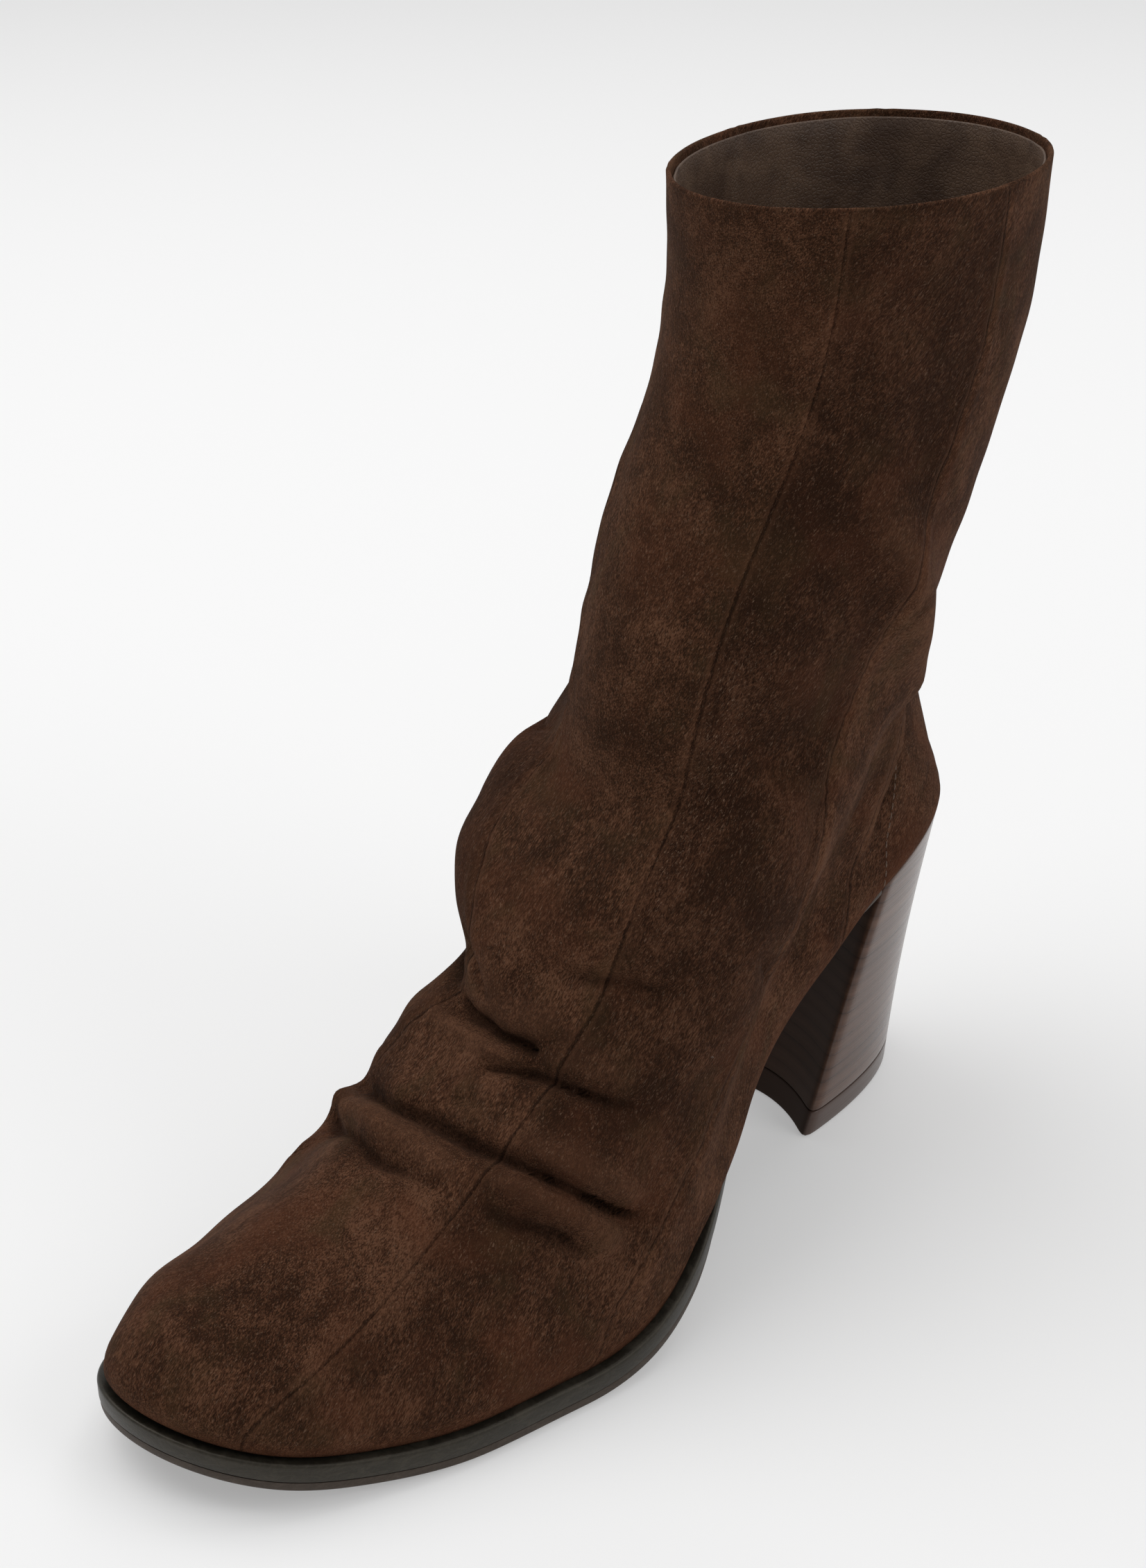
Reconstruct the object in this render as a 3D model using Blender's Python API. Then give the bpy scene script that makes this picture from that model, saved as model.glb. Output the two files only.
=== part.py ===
"""A left ankle boot on a block heel, standing on a floor at z = 0.

The toe points along -Y, the outer (lateral) side is +X and +Z is up. The origin is on the floor, at the
middle of the heel's tread. Sizes are in millimetres, and MM turns them into metres.

Every outline is walked by one angle: 0 at the back of the heel, pi at the toe, and back along the inner
side to two pi. "Forward" is the distance from the back of the heel seat towards the toe.
"""

from collections import namedtuple

import bmesh
import bpy
import numpy as np

MM = 0.001

# ---------------------------------------------------------------- driving dimensions, mm
SOLE_LENGTH = 243.0
HEEL_CENTRE = 33.0          # forward distance of the origin
TOE_TIP_X = -5.0            # the toe's tip turns towards the inner side
BACK_FULLNESS = 58.0        # roundness of the sole's outline at the back and at the toe
TOE_FULLNESS = 64.0

SEAT_HEIGHT = 80.5          # underside of the midsole at the back of the seat
SEAT_SLOPE = 0.3625
SEAT_LENGTH = 40.0
BALL_START = 165.0          # the tread lies flat on the floor from here ...
BALL_END = 188.0            # ... to here
TOE_SPRING = 10.0

GAP = 0.3                   # between pieces that touch
OUTSOLE_WAIST, OUTSOLE_BALL = 1.5, 2.2      # thickness under the waist and under the ball
OUTSOLE_START = 1.4         # its rear edge stands clear of the heel's breast, which leans forward
MIDSOLE_SEAT, MIDSOLE_BALL = 2.3, 4.3
THIN_UNTIL, THICK_FROM = 55.0, 135.0
EDGE_BREAK = 0.6            # small chamfer along a layer's edge

LEDGE = 1.4                 # how far the midsole stands out round the upper
WALL = 2.0                  # suede and lining together
INSOLE_MARGIN = LEDGE + WALL + 1.6
INSOLE_THICKNESS = 2.4

HEEL_FOOT_BACK, HEEL_FOOT_FRONT = 7.6, 60.0     # forward limits of the heel's foot
HEEL_FOOT_HALF_WIDTH = 22.8
HEEL_FOOT_X = 0.7
HEEL_ROUNDNESS = 2.4        # exponent of the D-shaped plan
BREAST_HOLLOW_TOP, BREAST_HOLLOW_FOOT = 6.0, 9.0
HEEL_WAIST = 0.8            # the heel's sides are slightly hollow from top to foot
TOP_LIFT = 6.2

# ---------------------------------------------------------------- fineness of the meshes
TURN_STEPS = 72             # round the upper
HEIGHT_STEPS = 28           # from the feather edge to the collar
SOLE_STEPS = TURN_STEPS // 2    # along the sole
SOLE_ACROSS = 2
HEEL_STEPS = 28
BREAST_STEPS = 8            # across the heel's breast and the outsole
HEEL_LEVELS = 7

# ---------------------------------------------------------------- tables
# Half widths of the sole, to either side of the line from the heel to the toe's tip.
Width = namedtuple("Width", "forward lateral medial")
SOLE_OUTLINE = (
    Width(6, 18.5, 18.5),
    Width(20, 27.5, 27.5),
    Width(40, 30.0, 30.0),
    Width(62, 29.5, 28.0),
    Width(90, 32.0, 27.0),
    Width(118, 44.5, 31.0),
    Width(145, 51.5, 37.5),
    Width(170, 48.0, 42.0),
    Width(194, 42.5, 41.5),
    Width(214, 34.0, 36.0),
    Width(230, 24.0, 27.0),
)

# Closed rings of the upper, from the feather edge to the collar. Each runs from a point at the back to a
# point at the front, through heights at the waist and the ball; heel, lateral and medial are its half
# widths, and oval says how far its plan has turned from the sole's outline (0) into an oval (1).
Ring = namedtuple("Ring", "back back_z waist_z ball_z front front_z front_x heel lateral medial oval")
WAIST_STATION, BALL_STATION = 0.4, 0.75
FEATHER = Ring(LEDGE, None, None, None, SOLE_LENGTH - LEDGE, None, TOE_TIP_X, 30, 50, 44, 0.0)
RINGS = (
    Ring(-0.2, 88.0, 45.0, 13.0, 241.8, 21.5, -5.0, 29.0, 51, 42, 0.05),
    Ring(-0.8, 93.5, 52.5, 18.0, 239.0, 27.5, -5.0, 29.0, 54, 38, 0.15),
    Ring(-0.6, 99.5, 62.0, 24.0, 230.5, 33.5, -4.5, 28.5, 55, 35, 0.35),
    Ring(0.6, 106.0, 73.0, 31.0, 217.0, 38.5, -3.0, 29.0, 56, 31, 0.60),
    Ring(2.4, 113.0, 85.0, 41.0, 200.0, 43.5, -1.0, 29.5, 56, 29, 0.85),
    Ring(4.4, 119.5, 96.0, 55.5, 181.0, 49.0, 1.0, 30.0, 55, 30, 1.0),
    Ring(5.4, 125.0, 106.0, 75.0, 162.5, 57.0, 3.0, 30.5, 53, 33, 1.0),
    Ring(5.6, 130.0, 115.0, 92.0, 149.0, 69.0, 5.0, 31.5, 49, 39, 1.0),
    Ring(4.8, 135.0, 121.5, 102.5, 143.5, 84.0, 7.0, 32.5, 44, 43, 1.0),
    Ring(3.2, 141.0, 128.0, 112.0, 134.0, 98.5, 8.0, 33.5, 39, 42, 1.0),
    Ring(1.5, 147.5, 135.0, 121.0, 121.5, 110.5, 9.0, 35.0, 35, 36, 1.0),
    Ring(-1.0, 155.0, 144.0, 131.5, 116.5, 124.0, 10.0, 36.0, 35, 34, 1.0),
    Ring(-4.5, 163.5, 155.0, 146.0, 111.0, 142.0, 10.0, 37.0, 36, 34.5, 1.0),
    Ring(-10.0, 176.0, 170.5, 165.0, 102.0, 162.0, 10.0, 38.0, 36, 35.5, 1.0),
    Ring(-17.0, 192.0, 189.5, 187.0, 90.0, 185.0, 10.0, 38.0, 37, 34.5, 1.0),
    Ring(-21.0, 210.0, 210.0, 209.0, 84.0, 208.5, 10.0, 38.0, 38, 34.5, 1.0),
    Ring(-22.0, 230.0, 231.0, 231.5, 84.0, 232.0, 10.0, 39.0, 39, 35, 1.0),
)

Finish = namedtuple("Finish", "colour roughness")
FINISHES = {
    "upper": Finish((0.055, 0.028, 0.016), 0.95),
    "insole": Finish((0.11, 0.06, 0.035), 0.7),
    "midsole": Finish((0.022, 0.021, 0.019), 0.42),
    "outsole": Finish((0.040, 0.026, 0.020), 0.55),
    "heel_block": Finish((0.050, 0.026, 0.020), 0.32),
    "top_lift": Finish((0.040, 0.024, 0.020), 0.45),
}


# ---------------------------------------------------------------- curves
def spline(stations, values, at, level_ends=False):
    """A cubic spline through rows of values; its ends are free, or level."""
    x = np.asarray(stations, float)
    y = np.asarray(values, float).reshape(len(x), -1)
    step = np.diff(x)
    slope = np.diff(y, axis=0) / step[:, None]
    matrix = np.eye(len(x))
    bend = np.zeros_like(y)
    for i in range(1, len(x) - 1):
        matrix[i, i - 1:i + 2] = step[i - 1], 2 * (step[i - 1] + step[i]), step[i]
        bend[i] = 6 * (slope[i] - slope[i - 1])
    if level_ends:
        matrix[0, :2] = 2 * step[0], step[0]
        matrix[-1, -2:] = step[-1], 2 * step[-1]
        bend[0], bend[-1] = 6 * slope[0], -6 * slope[-1]
    bend = np.linalg.solve(matrix, bend)
    at = np.atleast_1d(np.asarray(at, float))
    i = np.clip(np.searchsorted(x, at) - 1, 0, len(x) - 2)
    before, after, h = (x[i + 1] - at)[:, None], (at - x[i])[:, None], step[i][:, None]
    curve = (bend[i] * before**3 + bend[i + 1] * after**3) / (6 * h)
    curve += (y[i] / h - bend[i] * h / 6) * before + (y[i + 1] / h - bend[i + 1] * h / 6) * after
    return curve.reshape(len(at), *np.shape(values)[1:])


def ease(value, start, end):
    """0 before start, 1 after end, and smooth between them."""
    t = np.clip((value - start) / (end - start), 0, 1)
    return t * t * (3 - 2 * t)


def along(angle):
    """Share of an outline's length at an angle, 0 at the back and 1 at the front."""
    return (1 - np.cos(angle)) / 2


# ---------------------------------------------------------------- the sole's form
def midsole_under(forward):
    """Height of the midsole's underside: a sloping seat, the waist, the flat ball and the toe spring."""
    ball_height = OUTSOLE_BALL + GAP
    seat = SEAT_HEIGHT - SEAT_SLOPE * forward
    run = BALL_START - SEAT_LENGTH
    t = np.clip((forward - SEAT_LENGTH) / run, 0, 1)
    drop = SEAT_HEIGHT - SEAT_SLOPE * SEAT_LENGTH - ball_height
    waist = ball_height + drop * (1 - t) ** 2 * (1 + 2 * t) - SEAT_SLOPE * run * t * (1 - t) ** 2
    toe = TOE_SPRING * np.clip((forward - BALL_END) / (SOLE_LENGTH - BALL_END), 0, 1) ** 2
    return np.where(forward < SEAT_LENGTH, seat, waist + toe)


def midsole_top(forward):
    return midsole_under(forward) + MIDSOLE_SEAT + (MIDSOLE_BALL - MIDSOLE_SEAT) * ease(
        forward, THIN_UNTIL, THICK_FROM)


def outsole_top(forward):
    return midsole_under(forward) - GAP


def outsole_under(forward):
    return outsole_top(forward) - OUTSOLE_WAIST - (OUTSOLE_BALL - OUTSOLE_WAIST) * ease(
        forward, THIN_UNTIL, THICK_FROM)


def centre_line(share, tip_x, power=3.0):
    """Sideways place of an outline's middle line, which turns towards the toe's tip."""
    return tip_x * share**power


def sole_fullness(angle):
    """Half widths of the sole's outline, lateral and medial, as multiples of the sine of the angle."""
    share = np.array([row.forward for row in SOLE_OUTLINE]) / SOLE_LENGTH
    turn = np.arccos(1 - 2 * share)
    middle = centre_line(share, TOE_TIP_X)
    lateral = (np.array([row.lateral for row in SOLE_OUTLINE]) - middle) / np.sin(turn)
    medial = (np.array([row.medial for row in SOLE_OUTLINE]) + middle) / np.sin(turn)
    rows = np.vstack([[BACK_FULLNESS] * 2, np.stack([lateral, medial], 1), [TOE_FULLNESS] * 2])
    stations = np.concatenate([[0.0], turn, [np.pi]])
    half_turn = np.where(angle <= np.pi, angle, 2 * np.pi - angle)
    both = spline(stations, rows, half_turn, level_ends=True)
    return np.where(np.sin(angle) >= 0, both[:, 0], both[:, 1])


def sole_plan(angle, inset):
    """Sideways and forward place of the sole's outline, drawn in by inset."""
    share = along(angle)
    x = centre_line(share, TOE_TIP_X) + np.sin(angle) * (sole_fullness(angle) - inset)
    return x, inset + (SOLE_LENGTH - 2 * inset) * share


def place(x, forward, z):
    """Points in metres, in the boot's frame."""
    return np.stack([x, HEEL_CENTRE - forward, z], -1) * MM


# ---------------------------------------------------------------- the upper's form
def ring_points(ring, angle):
    share = along(angle)
    forward = ring.back + (ring.front - ring.back) * share
    fore = np.where(np.sin(angle) >= 0, ring.lateral, ring.medial)
    oval = ring.heel + (fore - ring.heel) * share
    full = (1 - ring.oval) * (sole_fullness(angle) - LEDGE) + ring.oval * oval
    x = centre_line(share, ring.front_x, 3 - 2 * ring.oval) + np.sin(angle) * full
    if ring is FEATHER:
        z = midsole_top(forward) + GAP
    else:
        stations = np.vander([0, WAIST_STATION, BALL_STATION, 1])
        heights = [ring.back_z, ring.waist_z, ring.ball_z, ring.front_z]
        z = np.polyval(np.linalg.solve(stations, heights), share)
    return np.stack([x, forward, z], -1)


def upper_surface(angle, level):
    """Outer face of the upper: level 0 is the feather edge and 1 the collar."""
    rings = np.array([ring_points(ring, angle) for ring in (FEATHER, *RINGS)])
    return spline(np.linspace(0, 1, len(rings)), rings, level)


def inward(surface):
    """Unit normals, pointing into the boot, of a stack of closed rings from the sole upwards."""
    round_it = np.roll(surface, -1, 1) - np.roll(surface, 1, 1)
    normal = np.cross(np.gradient(surface, axis=0), round_it)
    return normal / np.linalg.norm(normal, axis=-1, keepdims=True)


# ---------------------------------------------------------------- meshes
def finish_material(name):
    material = bpy.data.materials.new(name)
    material.use_nodes = True
    shader = material.node_tree.nodes["Principled BSDF"]
    finish = FINISHES[name]
    shader.inputs["Base Color"].default_value = (*finish.colour, 1.0)
    shader.inputs["Roughness"].default_value = finish.roughness
    shader.inputs["Metallic"].default_value = 0.0
    return material


def make_object(name, points, faces, boot):
    mesh = bpy.data.meshes.new(name)
    mesh.from_pydata([tuple(p) for p in points], [], faces)
    body = bmesh.new()
    body.from_mesh(mesh)
    bmesh.ops.remove_doubles(body, verts=body.verts, dist=1e-6)
    bmesh.ops.recalc_face_normals(body, faces=body.faces)
    body.to_mesh(mesh)
    body.free()
    mesh.shade_smooth()
    mesh.set_sharp_from_angle(angle=np.radians(35))
    mesh.materials.append(finish_material(name))
    piece = bpy.data.objects.new(name, mesh)
    piece.parent = boot
    bpy.context.collection.objects.link(piece)
    return piece


def between_loops(first, second, count):
    """Quads between two closed loops of count points, given by their first indices."""
    turn = range(count)
    return [(first + j, first + (j + 1) % count, second + (j + 1) % count, second + j) for j in turn]


def make_upper(boot):
    """One hollow solid: outer face, collar edge, inner face and the edge that sits on the midsole."""
    angle = np.linspace(0, 2 * np.pi, TURN_STEPS, endpoint=False)
    outer = upper_surface(angle, np.linspace(0, 1, HEIGHT_STEPS + 1))
    inner = outer + WALL * inward(outer)
    inner[0, :, 2] = outer[0, :, 2]
    rings = [*outer, *inner[::-1]]
    points = place(*np.moveaxis(np.concatenate(rings), -1, 0))
    faces = []
    for k in range(len(rings)):
        faces += between_loops(k * TURN_STEPS, (k + 1) % len(rings) * TURN_STEPS, TURN_STEPS)
    make_object("upper", points, faces, boot)


def sole_grid(height, inset, start=0.0, across=SOLE_ACROSS, hollow=0.0):
    """Points over the sole from a start angle to the toe; hollow bows the rear edge backwards."""
    angle = np.linspace(start, np.pi, SOLE_STEPS + 1)
    lateral, forward = sole_plan(angle, inset)
    medial, _ = sole_plan(2 * np.pi - angle, inset)
    share = np.linspace(0, 1, across + 1)
    x = lateral[:, None] + (medial - lateral)[:, None] * share
    bow = hollow * (1 - (2 * share - 1) ** 2)
    fade = 1 - ease(angle, start, start + 0.35)
    forward = forward[:, None] - fade[:, None] * bow
    return place(x, forward, height(forward))


def make_plate(name, layers, boot):
    """A closed layer from a stack of grids: the first and last are its faces, all lend their borders."""
    rows, columns = layers[0].shape[:2]
    size = rows * columns
    index = np.arange(size).reshape(rows, columns)
    border = [*index[:-1, 0], *index[-1, :-1], *index[:0:-1, -1], *index[0, :0:-1]]
    faces = []
    for i in range(rows - 1):
        for j in range(columns - 1):
            face = (index[i, j], index[i + 1, j], index[i + 1, j + 1], index[i, j + 1])
            faces.append(tuple(int(v) for v in face))
            faces.append(tuple(int(v) + size * (len(layers) - 1) for v in reversed(face)))
    for k in range(len(layers) - 1):
        for a, b in zip(border, border[1:] + border[:1]):
            faces.append(tuple(int(v) + size * k for v in (b, a, a + size, b + size)))
    make_object(name, np.concatenate([layer.reshape(-1, 3) for layer in layers]), faces, boot)


def make_midsole(boot):
    layers = [
        sole_grid(midsole_under, 0.0),
        sole_grid(lambda f: midsole_top(f) - EDGE_BREAK, 0.0),
        sole_grid(midsole_top, EDGE_BREAK),
    ]
    make_plate("midsole", layers, boot)


def make_outsole(boot):
    """The tread layer runs from the heel's breast to the toe."""
    start = np.arccos(1 - 2 * (SEAT_LENGTH + OUTSOLE_START) / SOLE_LENGTH)
    rear = dict(start=start, across=BREAST_STEPS, hollow=BREAST_HOLLOW_TOP)
    layers = [
        sole_grid(outsole_under, EDGE_BREAK, **rear),
        sole_grid(lambda f: outsole_under(f) + EDGE_BREAK, 0.0, **rear),
        sole_grid(outsole_top, 0.0, **rear),
    ]
    make_plate("outsole", layers, boot)


def make_insole(boot):
    layers = [
        sole_grid(lambda f: midsole_top(f) + GAP, INSOLE_MARGIN),
        sole_grid(lambda f: midsole_top(f) + GAP + INSOLE_THICKNESS, INSOLE_MARGIN),
    ]
    make_plate("insole", layers, boot)


def breast(corner_a, corner_b, hollow):
    """The hollow front edge of the heel's plan, between its two corners, which it leaves out."""
    share = np.linspace(0, 1, BREAST_STEPS + 1)[1:-1]
    edge = corner_a + (corner_b - corner_a) * share[:, None]
    edge[:, 1] -= hollow * (1 - (2 * share - 1) ** 2)
    return edge


def heel_top_plan():
    """Plan of the heel under the seat, from its inner front corner round the back to the outer one."""
    last = np.arccos(1 - 2 * SEAT_LENGTH / SOLE_LENGTH)
    angle = np.linspace(-last, last, HEEL_STEPS + 1) % (2 * np.pi)
    plan = np.stack(sole_plan(angle, GAP), -1)
    return np.vstack([plan, breast(plan[-1], plan[0], BREAST_HOLLOW_TOP)])


def heel_foot_plan():
    """Plan of the heel on the floor: a rounded D, longer and narrower than the seat."""
    angle = np.linspace(-np.pi / 2, np.pi / 2, HEEL_STEPS + 1)
    power = 2 / HEEL_ROUNDNESS
    x = HEEL_FOOT_X + HEEL_FOOT_HALF_WIDTH * np.sign(np.sin(angle)) * np.abs(np.sin(angle)) ** power
    length = HEEL_FOOT_FRONT - HEEL_FOOT_BACK
    forward = HEEL_FOOT_FRONT - length * np.clip(np.cos(angle), 0, 1) ** power
    plan = np.stack([x, forward], -1)
    return np.vstack([plan, breast(plan[-1], plan[0], BREAST_HOLLOW_FOOT)])


def heel_level(top, foot, top_z, height):
    """Heel plan where each line from the seat to the floor passes a height, slightly hollow between."""
    share = ((top_z - height) / top_z)[:, None]
    plan = top + (foot - top) * share
    middle = foot.mean(0)
    inward = (middle - plan) / np.linalg.norm(middle - plan, axis=1, keepdims=True)
    plan = plan + HEEL_WAIST * np.sin(np.pi * share) * inward
    return np.column_stack([plan, np.broadcast_to(height, len(plan))])


def make_loft(name, loops, boot):
    count = len(loops[0])
    faces = []
    for k in range(len(loops) - 1):
        faces += between_loops(k * count, (k + 1) * count, count)
    faces.append(tuple(range(count)))
    faces.append(tuple(range((len(loops) - 1) * count, len(loops) * count)))
    make_object(name, place(*np.concatenate(loops).T), faces, boot)


def make_heel(boot):
    """The heel block between the seat and the top lift, and the top lift that meets the floor."""
    top, foot = heel_top_plan(), heel_foot_plan()
    top_z = midsole_under(top[:, 1]) - GAP
    block_foot = TOP_LIFT + GAP
    shares = np.linspace(1, 0, HEEL_LEVELS)
    levels = [heel_level(top, foot, top_z, block_foot + (top_z - block_foot) * s) for s in shares]
    make_loft("heel_block", levels, boot)

    tread = heel_level(top, foot, top_z, 0.0)
    middle = tread[:, :2].mean(0)
    tread[:, :2] -= EDGE_BREAK * (tread[:, :2] - middle) / HEEL_FOOT_HALF_WIDTH
    edge = heel_level(top, foot, top_z, EDGE_BREAK)
    make_loft("top_lift", [heel_level(top, foot, top_z, TOP_LIFT), edge, tread], boot)


def main():
    for old in list(bpy.data.objects):
        bpy.data.objects.remove(old, do_unlink=True)
    boot = bpy.data.objects.new("ankle_boot", None)
    bpy.context.collection.objects.link(boot)
    make_upper(boot)
    make_insole(boot)
    make_midsole(boot)
    make_outsole(boot)
    make_heel(boot)


main()
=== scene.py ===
# %% [markdown]
# # A left ankle boot with a slack suede shaft
#
# The CAD model gives the true sizes and carries the physics. Every visible piece is made again here
# with a finer mesh and a procedural material, in the same frame: the toe points along -Y, the outer
# side is +X, +Z is up, and the floor is at z = 0.

# %% Start from the frame
from collections import namedtuple
from functools import partialmethod

import bmesh
import bpy
import numpy as np
from mathutils import Matrix, Vector


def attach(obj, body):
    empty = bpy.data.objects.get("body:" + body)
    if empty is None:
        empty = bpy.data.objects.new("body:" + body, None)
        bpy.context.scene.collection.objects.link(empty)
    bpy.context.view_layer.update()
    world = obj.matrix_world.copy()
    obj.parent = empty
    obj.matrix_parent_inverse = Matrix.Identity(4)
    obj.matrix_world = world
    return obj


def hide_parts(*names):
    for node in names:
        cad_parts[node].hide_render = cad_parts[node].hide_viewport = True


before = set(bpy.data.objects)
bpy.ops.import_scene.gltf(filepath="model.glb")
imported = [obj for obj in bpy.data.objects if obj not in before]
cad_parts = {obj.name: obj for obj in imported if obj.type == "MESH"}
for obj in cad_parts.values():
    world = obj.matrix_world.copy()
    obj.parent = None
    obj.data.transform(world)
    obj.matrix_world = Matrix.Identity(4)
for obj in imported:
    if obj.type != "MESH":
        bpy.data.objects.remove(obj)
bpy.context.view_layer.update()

print("CAD nodes:", sorted(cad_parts))

# %% [markdown]
# ## The camera
#
# A boot is usually shown from the front of its outer side and a little above. The camera comes
# first, because it decides which folds and edges deserve the most care. Its angles are turned round
# Z from the toe's direction, and up from the floor.

# %% Camera
MM = 0.001
CAMERA_PLACE = (316.2, -417.3, 350.0)  # mm
CAMERA_TURN, CAMERA_RISE, CAMERA_ROLL = 43.4, 27.4, -0.5  # degrees
CAMERA_LENS, SENSOR_HEIGHT = 55.5, 36.0  # mm


def add_object(name, data):
    """A new object in the scene, at the origin."""
    made = bpy.data.objects.new(name, data)
    bpy.context.collection.objects.link(made)
    return made


def aim(turn, rise, roll):
    """Rotation of a camera that looks towards the boot from that turn and rise."""
    turn, rise, roll = np.radians([turn, rise, roll])
    back = Vector((np.sin(turn) * np.cos(rise), -np.cos(turn) * np.cos(rise), np.sin(rise)))
    return back.to_track_quat("Z", "Y").to_matrix() @ Matrix.Rotation(roll, 3, "Z")


lens = bpy.data.cameras.new("camera")
lens.sensor_fit, lens.sensor_height, lens.lens = "VERTICAL", SENSOR_HEIGHT, CAMERA_LENS
camera = add_object("camera", lens)
camera.matrix_world = (Matrix.Translation(Vector(CAMERA_PLACE) * MM)
                       @ aim(CAMERA_TURN, CAMERA_RISE, CAMERA_ROLL).to_4x4())
bpy.context.scene.camera = camera
print("camera at", tuple(round(c, 3) for c in camera.location))

# %% [markdown]
# ## Floor and light
#
# Suede is judged by its soft shading, so the light is large and even: a pale world, one big soft
# box above the toe's inner side, two weaker ones behind, and a pale floor that glows a little, like
# a light table, to keep shadows soft. The standard view transform keeps it pale.

# %% Floor and light
WORLD_STRENGTH = 0.42
FLOOR_SIZE, FLOOR_DROP = 12.0, 0.0005  # m
FLOOR_FINISH = {"Base Color": (0.60, 0.60, 0.60, 1), "Roughness": 0.9,
                "Emission Color": (1, 1, 1, 1), "Emission Strength": 0.30}
LIT_PLACE = Vector((0, -0.06, 0.1))  # m, where the soft boxes point

scene = bpy.context.scene
scene.view_settings.view_transform = "Standard"
scene.view_settings.look = "None"
scene.world = bpy.data.worlds.new("studio")
scene.world.use_nodes = True
background = scene.world.node_tree.nodes["Background"].inputs
background["Color"].default_value = (1.0, 1.0, 1.0, 1.0)
background["Strength"].default_value = WORLD_STRENGTH

floor_mesh = bpy.data.meshes.new("floor")
corners = np.array([(-1, -1, 0), (1, -1, 0), (1, 1, 0), (-1, 1, 0)]) * FLOOR_SIZE / 2
floor_mesh.from_pydata(corners.tolist(), [], [(0, 1, 2, 3)])
paper = bpy.data.materials.new("pale paper")
paper.use_nodes = True
for socket, value in FLOOR_FINISH.items():
    paper.node_tree.nodes["Principled BSDF"].inputs[socket].default_value = value
floor_mesh.materials.append(paper)
floor = add_object("floor", floor_mesh)
floor.location.z = -FLOOR_DROP

SoftBox = namedtuple("SoftBox", "name turn rise distance size watts")
SOFT_BOXES = (
    SoftBox("key", -70, 64, 2, 2, 22),
    SoftBox("side", 112, 34, 2.2, 1.3, 9),
    SoftBox("back", 190, 60, 2, 1.2, 8),
)
for box in SOFT_BOXES:
    lamp = bpy.data.lights.new(box.name, "AREA")
    lamp.shape, lamp.size, lamp.energy = "DISK", box.size, box.watts
    turned = aim(box.turn, box.rise, 0)
    holder = add_object(box.name, lamp)
    holder.matrix_world = (Matrix.Translation(LIT_PLACE + turned.col[2] * box.distance)
                           @ turned.to_4x4())
print("soft boxes:", [box.name for box in SOFT_BOXES])

# %% [markdown]
# ## The boot's measurements
#
# The sole is drawn by its half widths along its length, and the upper by closed rings, from the
# feather edge, where it meets the sole, to the collar. These are the CAD model's own numbers, so
# the fine surfaces lie on the frame. "Forward" is the distance from the back of the heel seat.

# %% Measurements of the sole, mm
SOLE_LENGTH = 243.0
HEEL_CENTRE = 33.0  # forward distance of the frame's origin
TOE_TIP_X = -5.0
BACK_FULLNESS = 58.0
TOE_FULLNESS = 64.0

SEAT_HEIGHT = 80.5
SEAT_SLOPE = 0.3625
SEAT_LENGTH = 40.0
BALL_START, BALL_END = 165.0, 188.0
TOE_SPRING = 10.0

GAP = 0.3
OUTSOLE_WAIST, OUTSOLE_BALL = 1.5, 2.2
OUTSOLE_START = 1.4
MIDSOLE_SEAT, MIDSOLE_BALL = 2.3, 4.3
THIN_UNTIL, THICK_FROM = 55.0, 135.0
LEDGE = 1.4
WALL = 2.0

HEEL_FOOT_BACK, HEEL_FOOT_FRONT = 7.6, 60.0
HEEL_FOOT_HALF_WIDTH = 22.8
HEEL_FOOT_X = 0.7
HEEL_ROUNDNESS = 2.4
BREAST_HOLLOW_TOP, BREAST_HOLLOW_FOOT = 6.0, 9.0
HEEL_WAIST = 0.8
TOP_LIFT = 6.2

Width = namedtuple("Width", "forward lateral medial")
SOLE_OUTLINE = (
    Width(6, 18.5, 18.5),
    Width(20, 27.5, 27.5),
    Width(40, 30, 30),
    Width(62, 29.5, 28),
    Width(90, 32, 27),
    Width(118, 44.5, 31),
    Width(145, 51.5, 37.5),
    Width(170, 48, 42),
    Width(194, 42.5, 41.5),
    Width(214, 34, 36),
    Width(230, 24, 27),
)

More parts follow.
